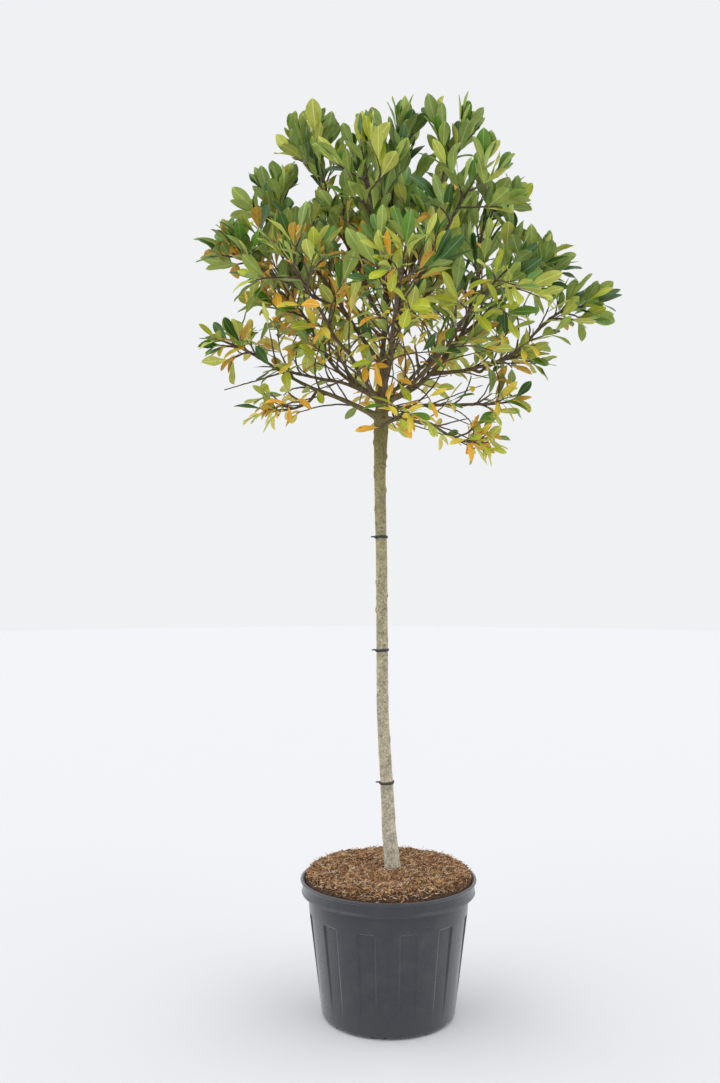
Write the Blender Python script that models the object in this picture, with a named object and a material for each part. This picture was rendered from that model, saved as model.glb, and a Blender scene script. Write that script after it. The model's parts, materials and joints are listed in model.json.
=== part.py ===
"""A young magnolia trained as a standard: a clear stem with three ties, in a black nursery pot.

Metres, +Z up. The front is towards -Y and the origin is the middle of the pot's flat underside.
Headings are in degrees, from +X round towards +Y, which is the back.
"""

import math
import random
from collections import namedtuple

import bmesh
import bpy
from mathutils import Matrix, Vector
from mathutils.bvhtree import BVHTree

UP = Vector((0, 0, 1))
GAP = 0.0003
MM = 1000
GOLDEN = math.pi * (3 - math.sqrt(5))

# Pot, a 45 litre nursery container
POT_HEIGHT = 0.369
FOOT_RADIUS = 0.180
SHOULDER_HEIGHT = 0.282
SHOULDER_RADIUS = 0.2145
NECK_HEIGHT = 0.325
NECK_RADIUS = 0.2175
RIM_RADIUS = 0.2385
RIM_DEPTH = 0.036
LIP_WIDTH = 0.009
LIP_EDGE = 0.004
WALL = 0.003
FLOOR = 0.012
ROUNDING = 0.010
PANELS = 12
PANEL_HEADING = math.radians(13)
PANEL_WIDTH = 0.053
PANEL_DEPTH = 0.005
PANEL_SLOPE = 0.005
PANEL_LEDGE = 0.004
PANEL_FOOT = 0.045
DRAINS = 10
DRAIN_HEADING = math.radians(-27.5)
DRAIN_WIDTH = 0.040
DRAIN_HEIGHT = 0.008
DRAIN_INSET = 0.045

# Soil, heaped a little over the rim
SOIL_SIDES = 24
SOIL_TOP = 0.391
SOIL_EDGE = 0.360
SOIL_SLACK = 0.0035
SOIL_FLAT = 0.050
SOIL_SHAPE = 14
SOIL_RINGS = (0.96, 0.88, 0.70)

# Trunk, from its flat cut on the soil to where the leader starts
TRUNK_SIDES = 14
TRUNK_STEPS = 22
TRUNK_FOOT = SOIL_TOP + GAP
TRUNK_TOP = 1.700
# How far the stem's middle lies to the right of the pot's axis, at heights above the soil
TRUNK_LEAN = (
    (0.00, 0.010),
    (0.13, 0.000),
    (0.45, -0.016),
    (0.80, -0.018),
    (1.07, -0.023),
    (1.31, -0.017),
)
TRUNK_GIRTH = 0.0305
FLARE_GIRTH = 0.0135
FLARE_HEIGHT = 0.20
ROOT_LOBES = 5
ROOT_RELIEF = 0.0025
ROOT_HEIGHT = 0.05
FORK_HEIGHT = 1.610
FORK_GIRTH = 0.0095
FORK_SPREAD = 0.10
LEADER_GIRTH = 0.024

# Ties, flat black bands round the stem with a short tail
TIE_HEIGHTS = (0.624, 0.983, 1.290)
TIE_DEPTH = 0.008
TIE_THICKNESS = 0.0025
TIE_TAIL = 0.011
TIE_SLACK = 0.0007

# Boughs, which end in the first of these shares of the way out through their mass that has room
BOUGH_SIDES = 6
BOUGH_TIP = 0.0042
BOUGH_TAPER = 0.8
BOUGH_WOBBLE = 0.004
BOUGH_STEP = 0.065
BOUGH_LEAST_STEPS = 4
ENTERS = (0.72, 0.60, 0.50, 0.40, 0.30)
TIP_ROOM = 0.012

# Shoots turn up more the higher they are: level at LEVEL_HEIGHT and upright UPRIGHT_RISE above it
LEVEL_HEIGHT = 1.62
UPRIGHT_RISE = 0.55

# Stems and twigs. A mass's stem aims partly on from its bough, partly outwards and partly up.
TWIG_SIDES = 3
TWIG_BASE = 0.0036
TWIG_TIP = 0.0026
STEM_COLLAR = 0.008
STEM_STEPS = 4
AIM_ON, AIM_OUT, AIM_UP = 0.6, 0.5, 0.7
SHOOT_BOW = 0.45
TWIG_NEAREST, TWIG_SPAN = 0.70, 0.55
TWIG_SPLAY, TWIG_SPREAD = math.radians(38), math.radians(78)
TWIG_JITTER = 0.25
TWIG_RISE = 0.1
TWIG_TRIES = (1.0, 0.8, 0.6)
TWIG_SHORTER = 0.8
LEAST_SHARE = 0.2
LEAF_ROOM = 0.078
LEAST_REACH = 0.30

# Leaves, about a tenth larger than life, each of which stands for three
LEAVES_PER_TWIG = 3
LEAF_LENGTH = 0.118
LEAF_WIDTH = 0.047
LEAF_THICKNESS = 0.0018
LEAF_BROADEST = 0.60
LEAF_FOLD = 0.004
LEAF_CURL = 0.006
LEAF_STALK = 0.14
LEAF_SIZES = (0.86, 1.08)
LEAF_NEAREST, LEAF_SPAN, LEAF_BUNCHING = 0.97, 0.60, 1.4
LEAF_SPLAY, LEAF_SPREAD = math.radians(34), math.radians(42)
LEAF_LIFT, LEAF_DROOP = 0.12, 0.10
FACES_ON, FACES_UP, FACES_IN = 0.6, 0.7, 0.3
# Turns round the twig and sizes that a leaf tries until it has room
LEAF_TRIES = ((0.0, 1.0), (0.7, 1.0), (-0.7, 1.0), (1.4, 0.9), (-1.4, 0.9), (0.0, 0.75))
LEAF_FACES = ((0, 2, 4), (0, 4, 3), (1, 4, 2), (1, 3, 4), (0, 1, 2), (0, 3, 1))
LIMB_MARGIN = 0.001
SPACE_MARGIN = 0.0008

# Each limb, with the mass of foliage that it carries.
# parent and along: what it grows from, and the height on the trunk or the share of the parent's length.
# girth: its diameter at the base in millimetres. sweep: how much of its run comes before its rise.
# heading, out, height: where the middle of its mass is. width, tall: half the mass's breadth and height.
Limb = namedtuple("Limb", "name parent along girth sweep arch heading out height width tall twigs")
LIMBS = (
    Limb("leader", "trunk", 1.700, 23, 0.80, 0.00, 60, 0.020, 2.335, 0.120, 0.190, 6),
    Limb("leader_left", "leader", 0.34, 13, 0.55, 0.00, 181, 0.205, 2.310, 0.120, 0.150, 5),
    Limb("upright_right", "trunk", 1.688, 15, 0.40, 0.00, -9, 0.165, 2.336, 0.110, 0.180, 5),
    Limb("top_front", "leader", 0.45, 11, 0.55, 0.00, 253, 0.210, 2.200, 0.160, 0.160, 5),
    Limb("top_back", "leader", 0.50, 11, 0.50, 0.00, 84, 0.200, 2.290, 0.170, 0.170, 5),
    Limb("steep_left", "leader", 0.10, 15, 0.50, 0.00, 175, 0.300, 2.180, 0.145, 0.150, 5),
    Limb("shoulder_left", "steep_left", 0.45, 10, 0.55, 0.00, 187, 0.400, 2.035, 0.135, 0.115, 5),
    Limb("bough_right", "trunk", 1.660, 18, 0.88, 0.00, 6, 0.305, 2.175, 0.115, 0.135, 5),
    Limb("shoulder_right", "bough_right", 0.50, 10, 0.50, 0.00, -10, 0.380, 1.990, 0.145, 0.125, 6),
    Limb("far_right", "bough_right", 0.28, 12, 0.74, -0.02, 1, 0.512, 1.905, 0.150, 0.100, 5),
    Limb("right_spur", "far_right", 0.30, 9, 0.50, -0.02, 7, 0.350, 1.775, 0.120, 0.090, 4),
    Limb("level_right", "trunk", 1.640, 14, 0.50, 0.01, 2, 0.290, 1.655, 0.125, 0.090, 4),
    Limb("low_right", "trunk", 1.598, 13, 0.50, 0.05, -16, 0.240, 1.555, 0.120, 0.095, 4),
    Limb("low_left", "trunk", 1.612, 18, 0.52, 0.00, 184, 0.400, 1.795, 0.145, 0.100, 5),
    Limb("hanging_left", "low_left", 0.50, 9, 0.50, 0.01, 190, 0.300, 1.650, 0.155, 0.085, 4),
    Limb("level_left", "trunk", 1.668, 14, 0.70, 0.00, 172, 0.280, 1.935, 0.140, 0.110, 5),
    Limb("low_front", "trunk", 1.606, 10, 0.50, 0.01, -78, 0.200, 1.600, 0.120, 0.090, 3),
    Limb("low_back", "trunk", 1.630, 14, 0.60, 0.00, 92, 0.280, 1.680, 0.180, 0.130, 3),
    Limb("front_left", "trunk", 1.652, 15, 0.55, 0.00, 229, 0.350, 1.930, 0.180, 0.180, 5),
    Limb("front_middle", "trunk", 1.676, 14, 0.55, 0.00, 273, 0.380, 1.900, 0.180, 0.180, 5),
    Limb("front_right", "trunk", 1.640, 14, 0.60, 0.00, -48, 0.370, 1.890, 0.180, 0.180, 6),
    Limb("back_left", "trunk", 1.655, 16, 0.60, 0.00, 124, 0.370, 1.900, 0.190, 0.180, 4),
    Limb("back_right", "trunk", 1.676, 15, 0.60, 0.00, 56, 0.375, 1.900, 0.190, 0.180, 5),
    Limb("upper_front", "upright_right", 0.45, 10, 0.55, 0.00, -50, 0.300, 2.140, 0.175, 0.170, 5),
    Limb("upper_left", "leader", 0.26, 12, 0.60, 0.00, 128, 0.315, 2.130, 0.180, 0.170, 5),
    Limb("upper_right", "upright_right", 0.30, 12, 0.60, 0.00, 50, 0.330, 2.140, 0.180, 0.170, 5),
    Limb("flat_left", "trunk", 1.655, 12, 0.45, 0.02, 176, 0.270, 1.745, 0.110, 0.080, 4),
)
BOUGH_SEED = 7
MASS_SEED = 7000

# Colours as sRGB hex, with roughness
FINISHES = {
    "black_polypropylene": ("33393D", 0.50),
    "bark_substrate": ("6B4A33", 0.95),
    "magnolia_bark": ("86795F", 0.85),
    "rubber_tie": ("1B1C1D", 0.60),
    "magnolia_leaf": ("5C7431", 0.55),
}


def linear(channel):
    """One sRGB channel, 0 to 1, as linear light."""
    return channel / 12.92 if channel <= 0.04045 else ((channel + 0.055) / 1.055) ** 2.4


def finish(name):
    """The named finish as a material, made once."""
    known = bpy.data.materials.get(name)
    if known:
        return known
    colour, roughness = FINISHES[name]
    material = bpy.data.materials.new(name)
    material.use_nodes = True
    shader = material.node_tree.nodes["Principled BSDF"]
    rgb = [linear(int(colour[at : at + 2], 16) / 255) for at in (0, 2, 4)]
    shader.inputs["Base Color"].default_value = (*rgb, 1)
    shader.inputs["Roughness"].default_value = roughness
    shader.inputs["Metallic"].default_value = 0
    return material


def mesh_of(name, points, faces):
    """A closed mesh with its faces turned outwards."""
    mesh = bpy.data.meshes.new(name)
    mesh.from_pydata(points, [], faces)
    body = bmesh.new()
    body.from_mesh(mesh)
    bmesh.ops.recalc_face_normals(body, faces=body.faces)
    body.to_mesh(mesh)
    body.free()
    return mesh


def place(name, mesh, finish_name):
    """An object in the scene with its finish."""
    piece = bpy.data.objects.new(name, mesh)
    mesh.materials.clear()
    mesh.materials.append(finish(finish_name))
    bpy.context.scene.collection.objects.link(piece)
    return piece


def evaluated_mesh(piece):
    """A new mesh of the object with its modifiers applied."""
    bpy.context.view_layer.update()
    graph = bpy.context.evaluated_depsgraph_get()
    return bpy.data.meshes.new_from_object(piece.evaluated_get(graph))


def main_body(mesh):
    """Keeps the largest of a mesh's separate shells, so that sealed hollows fill and scraps go."""
    body = bmesh.new()
    body.from_mesh(mesh)
    bmesh.ops.remove_doubles(body, verts=body.verts, dist=1e-7)
    waiting = set(body.faces)
    shells = []
    while waiting:
        reached = [waiting.pop()]
        shell = []
        while reached:
            face = reached.pop()
            shell.append(face)
            for edge in face.edges:
                for other in edge.link_faces:
                    if other in waiting:
                        waiting.remove(other)
                        reached.append(other)
        shells.append(shell)
    shells.sort(key=lambda shell: sum(face.calc_area() for face in shell))
    for shell in shells[:-1]:
        bmesh.ops.delete(body, geom=shell, context="FACES")
    body.to_mesh(mesh)
    body.free()
    return mesh


def is_closed(mesh):
    """Whether every edge of the mesh has two faces."""
    body = bmesh.new()
    body.from_mesh(mesh)
    closed = len(body.faces) > 3 and all(edge.is_manifold for edge in body.edges)
    body.free()
    return closed


def combine(mesh, others, operation, solver="EXACT"):
    """The mesh after one Boolean with a collection of the other meshes."""
    base = bpy.data.objects.new("base", mesh)
    bpy.context.scene.collection.objects.link(base)
    group = bpy.data.collections.new("operands")
    bpy.context.scene.collection.children.link(group)
    for other in others:
        group.objects.link(bpy.data.objects.new("operand", other))
    boolean = base.modifiers.new("combine", "BOOLEAN")
    boolean.operation = operation
    boolean.operand_type = "COLLECTION"
    boolean.collection = group
    boolean.solver = solver
    result = main_body(evaluated_mesh(base))
    for operand in list(group.objects):
        bpy.data.objects.remove(operand)
    bpy.data.collections.remove(group)
    bpy.data.objects.remove(base)
    return result


class Path:
    """A run of points with a radius at each, read by the share of its length."""

    def __init__(self, points, radii):
        self.points = points
        self.radii = radii
        self.marks = [0.0]
        for one, two in zip(points, points[1:]):
            self.marks.append(self.marks[-1] + (two - one).length)

    @property
    def length(self):
        """The whole run's length."""
        return self.marks[-1]

    def at(self, share):
        """The point, direction and radius at a share of the length."""
        wanted = min(max(share, 0.0), 1.0) * self.length
        step = 0
        while step < len(self.points) - 2 and self.marks[step + 1] < wanted:
            step += 1
        part = (wanted - self.marks[step]) / (self.marks[step + 1] - self.marks[step])
        point = self.points[step].lerp(self.points[step + 1], part)
        direction = (self.points[step + 1] - self.points[step]).normalized()
        radius = self.radii[step] + (self.radii[step + 1] - self.radii[step]) * part
        return point, direction, radius


def tube(name, path, sides, grown=0.0, shape=None):
    """A tapering tube along a path with flat ends. shape(step, angle) adds to the radius."""
    points = [point.copy() for point in path.points]
    if grown:
        points[0] -= (points[1] - points[0]).normalized() * grown
        points[-1] += (points[-1] - points[-2]).normalized() * grown
    side = Vector((1, 0, 0))
    rings = []
    for step, point in enumerate(points):
        before, after = points[max(step - 1, 0)], points[min(step + 1, len(points) - 1)]
        along = (after - before).normalized()
        side = (side - along * side.dot(along)).normalized()
        across = along.cross(side)
        for turn in range(sides):
            angle = math.tau * turn / sides
            radius = path.radii[step] + grown + (shape(step, angle) if shape else 0.0)
            rings.append(point + (side * math.cos(angle) + across * math.sin(angle)) * radius)
    faces = [list(range(sides)), list(range(len(rings) - sides, len(rings)))]
    for step in range(len(points) - 1):
        for turn in range(sides):
            low, next_low = step * sides + turn, step * sides + (turn + 1) % sides
            faces.append([low, next_low, next_low + sides, low + sides])
    return mesh_of(name, rings, faces)


def turned(name, rings, angles, relief):
    """A closed solid from rings of (height, radius, share of the relief), each joined to the next."""
    points = []
    for height, radius, share in rings:
        for angle, raised in zip(angles, relief):
            reach = radius + share * raised
            points.append(Vector((math.cos(angle) * reach, math.sin(angle) * reach, height)))
    count = len(angles)
    faces = [list(range(count)), list(range(len(points) - count, len(points)))]
    for ring in range(len(rings) - 1):
        for turn in range(count):
            low, next_low = ring * count + turn, ring * count + (turn + 1) % count
            faces.append([low, next_low, next_low + count, low + count])
    return mesh_of(name, points, faces)


def wall_radius(height):
    """The pot's outer wall between its sunk panels."""
    if height <= SHOULDER_HEIGHT:
        return FOOT_RADIUS + (SHOULDER_RADIUS - FOOT_RADIUS) * height / SHOULDER_HEIGHT
    rise = (height - SHOULDER_HEIGHT) / (NECK_HEIGHT - SHOULDER_HEIGHT)
    return SHOULDER_RADIUS + (NECK_RADIUS - SHOULDER_RADIUS) * rise


def inner_radius(height):
    """The pot's inner wall, which leans out to the lip above its neck."""
    if height <= NECK_HEIGHT:
        return wall_radius(height) - WALL
    rise = (height - NECK_HEIGHT) / (POT_HEIGHT - NECK_HEIGHT)
    return NECK_RADIUS - WALL + (RIM_RADIUS - LIP_WIDTH - NECK_RADIUS + WALL) * rise


def make_pot():
    """The thin walled pot: sunk panels that fade out downwards, a deep rim band and drain gaps."""
    half = PANEL_WIDTH / 2 / SHOULDER_RADIUS
    slope = PANEL_SLOPE / SHOULDER_RADIUS
    sector = math.tau / PANELS
    offsets = (-half, slope - half, half - slope, half)
    sunk = (0.0, -PANEL_DEPTH, -PANEL_DEPTH, 0.0)
    angles = [PANEL_HEADING + panel * sector + offset for panel in range(PANELS) for offset in offsets]
    panel_top = SHOULDER_HEIGHT - PANEL_LEDGE
    rings = (
        (0.0, wall_radius(0) - ROUNDING, 0),
        (ROUNDING, wall_radius(ROUNDING), 0),
        (PANEL_FOOT, wall_radius(PANEL_FOOT), 0),
        (panel_top, wall_radius(panel_top), 1),
        (SHOULDER_HEIGHT, wall_radius(SHOULDER_HEIGHT), 0),
        (NECK_HEIGHT, NECK_RADIUS, 0),
        (POT_HEIGHT - RIM_DEPTH, RIM_RADIUS, 0),
        (POT_HEIGHT - LIP_EDGE, RIM_RADIUS, 0),
        (POT_HEIGHT, RIM_RADIUS - LIP_EDGE, 0),
        (POT_HEIGHT, inner_radius(POT_HEIGHT), 0),
        (NECK_HEIGHT, inner_radius(NECK_HEIGHT), 0),
        (SHOULDER_HEIGHT, inner_radius(SHOULDER_HEIGHT), 0),
        (panel_top, inner_radius(panel_top), 1),
        (PANEL_FOOT, inner_radius(PANEL_FOOT), 0),
        (FLOOR, inner_radius(FLOOR), 0),
    )
    pot = turned("pot", rings, angles, sunk * PANELS)
    gaps = []
    for drain in range(DRAINS):
        turn = Matrix.Rotation(DRAIN_HEADING + drain * math.tau / DRAINS, 4, "Z")
        inner, outer = FOOT_RADIUS - DRAIN_INSET, FOOT_RADIUS + DRAIN_INSET
        corners = [
            turn @ Vector((x, y, z))
            for z in (-DRAIN_HEIGHT, DRAIN_HEIGHT)
            for x, y in (
                (inner, -DRAIN_WIDTH / 2),
                (outer, -DRAIN_WIDTH / 2),
                (outer, DRAIN_WIDTH / 2),
                (inner, DRAIN_WIDTH / 2),
            )
        ]
        sides = [[0, 1, 2, 3], [4, 5, 6, 7]]
        sides += [[at, (at + 1) % 4, (at + 1) % 4 + 4, at + 4] for at in range(4)]
        gaps.append(mesh_of("drain", corners, sides))
    place("pot", combine(pot, gaps, "DIFFERENCE"), "black_polypropylene")


def make_soil():
    """The heaped substrate, clear of the sunk panels, with a flat place under the trunk."""
    angles = [math.tau * turn / SOIL_SIDES for turn in range(SOIL_SIDES)]
    heap = SOIL_TOP - SOIL_EDGE
    edge = inner_radius(SOIL_EDGE) - SOIL_SLACK
    levels = ((FLOOR + GAP, 0), (SHOULDER_HEIGHT, PANEL_DEPTH), (NECK_HEIGHT, 0), (SOIL_EDGE, 0))
    rings = [(level, inner_radius(level) - SOIL_SLACK - sunk, 0) for level, sunk in levels]
    for share in SOIL_RINGS:
        rings.append((SOIL_EDGE + heap * (1 - share**SOIL_SHAPE), edge * share, 0))
    rings.append((SOIL_TOP, SOIL_FLAT, 0))
    place("soil", turned("soil", rings, angles, [0] * SOIL_SIDES), "bark_substrate")


def stem_middle(height):
    """The trunk's middle at a height, on a smooth run through its leans."""
    above = height - SOIL_TOP
    marks = TRUNK_LEAN
    step = max(at for at in range(len(marks) - 1) if marks[at][0] <= above or at == 0)
    (low, left), (high, right) = marks[step], marks[step + 1]
    share = (above - low) / (high - low)
    eased = share * share * (3 - 2 * share)
    return Vector((left + (right - left) * (share + eased) / 2, 0, height))


def stem_radius(height):
    """The trunk's radius: a flare at the foot, a swelling at the fork and a narrower top."""
    girth = TRUNK_GIRTH + FLARE_GIRTH * math.exp(-(height - SOIL_TOP) / FLARE_HEIGHT)
    girth += FORK_GIRTH * math.exp(-(((height - FORK_HEIGHT) / FORK_SPREAD) ** 2))
    if height > FORK_HEIGHT:
        share = (height - FORK_HEIGHT) / (TRUNK_TOP - FORK_HEIGHT)
        girth += (LEADER_GIRTH - girth) * share
    return girth / 2


def trunk_path():
    """The clear stem's run, from its flat cut on the soil to where the leader starts."""
    rise = TRUNK_TOP - TRUNK_FOOT
    heights = [TRUNK_FOOT + rise * step / TRUNK_STEPS for step in range(TRUNK_STEPS + 1)]
    return Path([stem_middle(height) for height in heights], [stem_radius(height) for height in heights])


def trunk_mesh(path, grown=0.0):
    """The stem with its root lobes and level ends, grown all round where another piece is cut by it."""

    def roots(step, angle):
        fade = math.exp(-(path.points[step].z - TRUNK_FOOT) / ROOT_HEIGHT)
        return ROOT_RELIEF * fade * math.cos(ROOT_LOBES * angle)

    trunk = tube("trunk", path, TRUNK_SIDES, grown, roots)
    for vertex in trunk.vertices[:TRUNK_SIDES]:
        vertex.co.z = TRUNK_FOOT - grown
    for vertex in trunk.vertices[-TRUNK_SIDES:]:
        vertex.co.z = TRUNK_TOP + grown
    return trunk


def make_tie(number, height):
    """A band round the stem, with its tail on the left."""
    low, high = height - TIE_DEPTH / 2, height + TIE_DEPTH / 2
    inner = max(stem_radius(low), stem_radius(high)) + TIE_SLACK
    outer = inner + TIE_THICKNESS
    middle = stem_middle(height)
    body = bmesh.new()
    rings = []
    for level, radius in ((low, inner), (low, outer), (high, outer), (high, inner)):
        ring = []
        for turn in range(TRUNK_SIDES):
            angle = math.tau * turn / TRUNK_SIDES
            corner = (middle.x + math.cos(angle) * radius, math.sin(angle) * radius, level)
            ring.append(body.verts.new(corner))
        rings.append(ring)
    outside = []
    for at in range(4):
        for turn in range(TRUNK_SIDES):
            following = (turn + 1) % TRUNK_SIDES
            one, two = rings[at], rings[(at + 1) % 4]
            face = body.faces.new((one[turn], one[following], two[following], two[turn]))
            if at == 1:
                outside.append(face)
    bmesh.ops.recalc_face_normals(body, faces=body.faces)
    leftmost = outside[TRUNK_SIDES // 2]
    tail = bmesh.ops.extrude_discrete_faces(body, faces=[leftmost])["faces"][0]
    bmesh.ops.translate(body, verts=tail.verts, vec=tail.normal * TIE_TAIL)
    mesh = bpy.data.meshes.new("tie")
    body.to_mesh(mesh)
    body.free()
    place(f"tie_{number}", mesh, "rubber_tie")


def mass_middle(limb):
    """Where the middle of the limb's mass is."""
    heading = math.radians(limb.heading)
    return Vector((math.cos(heading) * limb.out, math.sin(heading) * limb.out, limb.height))


class Space:
    """The room of one mass: its ellipsoid, cut off halfway to each neighbour."""

    def __init__(self, limb):
        self.middle = mass_middle(limb)
        self.size = Vector((limb.width, limb.width, limb.tall))
        self.walls = []
        for other in LIMBS:
            if other.name == limb.name:
                continue
            way = mass_middle(other) - self.middle
            far = way.length
            wall = (far * far + limb.width**2 - other.width**2) / (2 * far)
            self.walls.append((way / far, wall - SPACE_MARGIN))

    def within(self, point, spare=0.0):
        """Whether a point is on this mass's side of every wall."""
        offset = point - self.middle
        return all(offset.dot(way) < wall - spare for way, wall in self.walls)

    def reaches(self, point):
        """Whether a point is inside the ellipsoid too."""
        offset = point - self.middle
        spread = sum((offset[axis] / self.size[axis]) ** 2 for axis in range(3))
        return spread < 1 and self.within(point)

    def reach(self, way):
        """How far the ellipsoid's surface is from its middle towards way."""
        return 1 / math.sqrt(sum((way[axis] / self.size[axis]) ** 2 for axis in range(3)))

    def twig_end(self, way, share=1.0):
        """Where a twig towards way ends: a leaf's length inside the ellipsoid, at that share of the way."""
        far = self.reach(way)
        end = self.middle + way * share * max(far - LEAF_ROOM, far * LEAST_REACH)
        if self.within(end, TIP_ROOM) or share < LEAST_SHARE:
            return end
        return self.twig_end(way, share * TWIG_SHORTER)


def bough_path(limb, paths, rng):
    """The limb's run from inside its parent to where it enters its mass."""
    parent = paths[limb.parent]
    if limb.parent == "trunk":
        base = stem_middle(limb.along)
    else:
        base = parent.at(limb.along)[0]
    space = Space(limb)
    inward = (base - space.middle).normalized()
    entries = [space.middle + inward * space.reach(inward) * share for share in ENTERS]
    tip = next((entry for entry in entries if space.within(entry, TIP_ROOM)), entries[-1])
    run = Vector((tip.x - base.x, tip.y - base.y, 0))
    rise = Vector((0, 0, tip.z - base.z))
    pull = base + run * limb.sweep + rise * (1 - limb.sweep) + UP * limb.arch
    steps = max(BOUGH_LEAST_STEPS, round((tip - base).length / BOUGH_STEP))
    points, radii = [], []
    root = limb.girth / 2 / MM
    for step in range(steps + 1):
        share = step / steps
        point = base * (1 - share) ** 2 + pull * 2 * share * (1 - share) + tip * share**2
        if 1 < step < steps:
            point += Vector([rng.uniform(-1, 1) for _ in range(3)]) * BOUGH_WOBBLE
        points.append(point)
        radii.append(root + (BOUGH_TIP - root) * share**BOUGH_TAPER)
    return Path(points, radii)


def tree_of(mesh):
    """The mesh's faces, ready for touch tests."""
    return BVHTree.FromPolygons(
        [vertex.co.copy() for vertex in mesh.vertices], [list(face.vertices) for face in mesh.polygons]
    )


def make_boughs(stem):
    """Every bough, cut clear of its parent and of the boughs before it. Returns paths and touch tests."""
    rng = random.Random(BOUGH_SEED)
    paths = {"trunk": stem}
    grown = {"trunk": trunk_mesh(stem, GAP)}
    for limb in LIMBS:
        path = bough_path(limb, paths, rng)
        mesh = tube(limb.name, path, BOUGH_SIDES)
        near = tree_of(mesh)
        in_way = [other for other in grown.values() if near.overlap(tree_of(other))]
        if in_way:
            mesh = combine(mesh, in_way, "DIFFERENCE")
        place(limb.name, mesh, "magnolia_bark")
        paths[limb.name] = path
        grown[limb.name] = tube("grown", path, BOUGH_SIDES, GAP)
    wide = [tree_of(tube("wide", path, TRUNK_SIDES, LIMB_MARGIN)) for path in paths.values()]
    return paths, wide


def clear(mesh, space, wide):
    """Whether a twig keeps to its space and off the limbs."""
    if not all(space.within(vertex.co) for vertex in mesh.vertices):
        return False
    own = tree_of(mesh)
    return not any(own.overlap(limb) for limb in wide)


def lift(height):
    """How strongly shoots turn up: upright in the top of the crown, spreading at its foot."""
    return (height - LEVEL_HEIGHT) / UPRIGHT_RISE


def shoot_path(base, start_way, tip, base_radius, tip_radius, steps):
    """A shoot that leaves along start_way and ends at tip."""
    pull = base + start_way * (tip - base).length * SHOOT_BOW
    points, radii = [], []
    for step in range(steps + 1):
        share = step / steps
        points.append(base * (1 - share) ** 2 + pull * 2 * share * (1 - share) + tip * share**2)
        radii.append(base_radius + (tip_radius - base_radius) * share)
    return Path(points, radii)


def leaf_points(root, way, face_up, size):
    """The corners of a folded leaf: the top and foot of its root, its two sides and its tip."""
    across = way.cross(face_up).normalized()
    above = across.cross(way).normalized()
    length = LEAF_LENGTH * size
    half = LEAF_WIDTH * size / 2
    broad = root + way * length * LEAF_BROADEST + above * LEAF_FOLD
    return [
        root + above * LEAF_THICKNESS / 2,
        root - above * LEAF_THICKNESS / 2,
        broad + across * half,
        broad - across * half,
        root + way * length - above * LEAF_CURL,
    ]


def blade_tree(points):
    """A leaf's faces without its stalk, for touch tests inside its own mass."""
    tip = points[4]
    stalks = [point.lerp(tip, LEAF_STALK) for point in points[:2]]
    return BVHTree.FromPolygons(stalks + points[2:], LEAF_FACES)


def leaves_on(number, shoots, blades, space, wide, rng):
    """Leaves by the golden angle on the outer part of a shoot, none of them through another."""
    path = shoots[number][0]
    others = [tree for at, (_, tree) in enumerate(shoots) if at != number]
    leaves = []
    turn = rng.uniform(0, math.tau)
    for count in range(LEAVES_PER_TWIG):
        part = count / LEAVES_PER_TWIG
        root, along, _ = path.at(LEAF_NEAREST - LEAF_SPAN * part**LEAF_BUNCHING)
        side = along.orthogonal().normalized()
        size = rng.uniform(*LEAF_SIZES)
        splay = LEAF_SPLAY + LEAF_SPREAD * part
        for extra, smaller in LEAF_TRIES:
            around = Matrix.Rotation(turn + extra, 3, along) @ side
            way = along * math.cos(splay) + around * math.sin(splay)
            way.z += LEAF_LIFT * lift(root.z) - LEAF_DROOP
            way.normalize()
            face_up = along * FACES_ON + UP * FACES_UP - around * FACES_IN
            points = leaf_points(root, way, face_up, size * smaller)
            if not space.reaches(points[4]) or not all(space.within(point) for point in points):
                continue
            blade = blade_tree(points)
            if not any(blade.overlap(tree) for tree in wide + others + blades):
                leaves.append(mesh_of("leaf", points, LEAF_FACES))
                blades.append(blade)
                break
        turn += GOLDEN
    return leaves


def twig_on(stem, aim, number, limb, space, wide, rng):
    """The path and mesh of one twig of a mass, or None where it has no room."""
    spread = (number + 0.5) / limb.twigs
    polar = TWIG_SPLAY + TWIG_SPREAD * spread
    turn = number * GOLDEN + rng.uniform(-TWIG_JITTER, TWIG_JITTER)
    around = Matrix.Rotation(turn, 3, aim) @ aim.orthogonal().normalized()
    way = (aim * math.cos(polar) + around * math.sin(polar) + UP * TWIG_RISE).normalized()
    base, along, _ = stem.at(TWIG_NEAREST - TWIG_SPAN * spread)
    for share in TWIG_TRIES:
        end = space.twig_end(way, share)
        start_way = (along + (end - base).normalized()) / 2
        path = shoot_path(base, start_way, end, TWIG_BASE, TWIG_TIP, 1)
        mesh = tube("twig", path, TWIG_SIDES)
        if clear(mesh, space, wide):
            return path, mesh
    return None


def fuse(body, parts):
    """One closed solid of a stem, its twigs and its leaves, with a leaf less where both solvers fail."""
    for solver in ("EXACT", "MANIFOLD"):
        fused = combine(body, parts, "UNION", solver)
        if is_closed(fused):
            return fused
    return fuse(body, parts[:-1])


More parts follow.
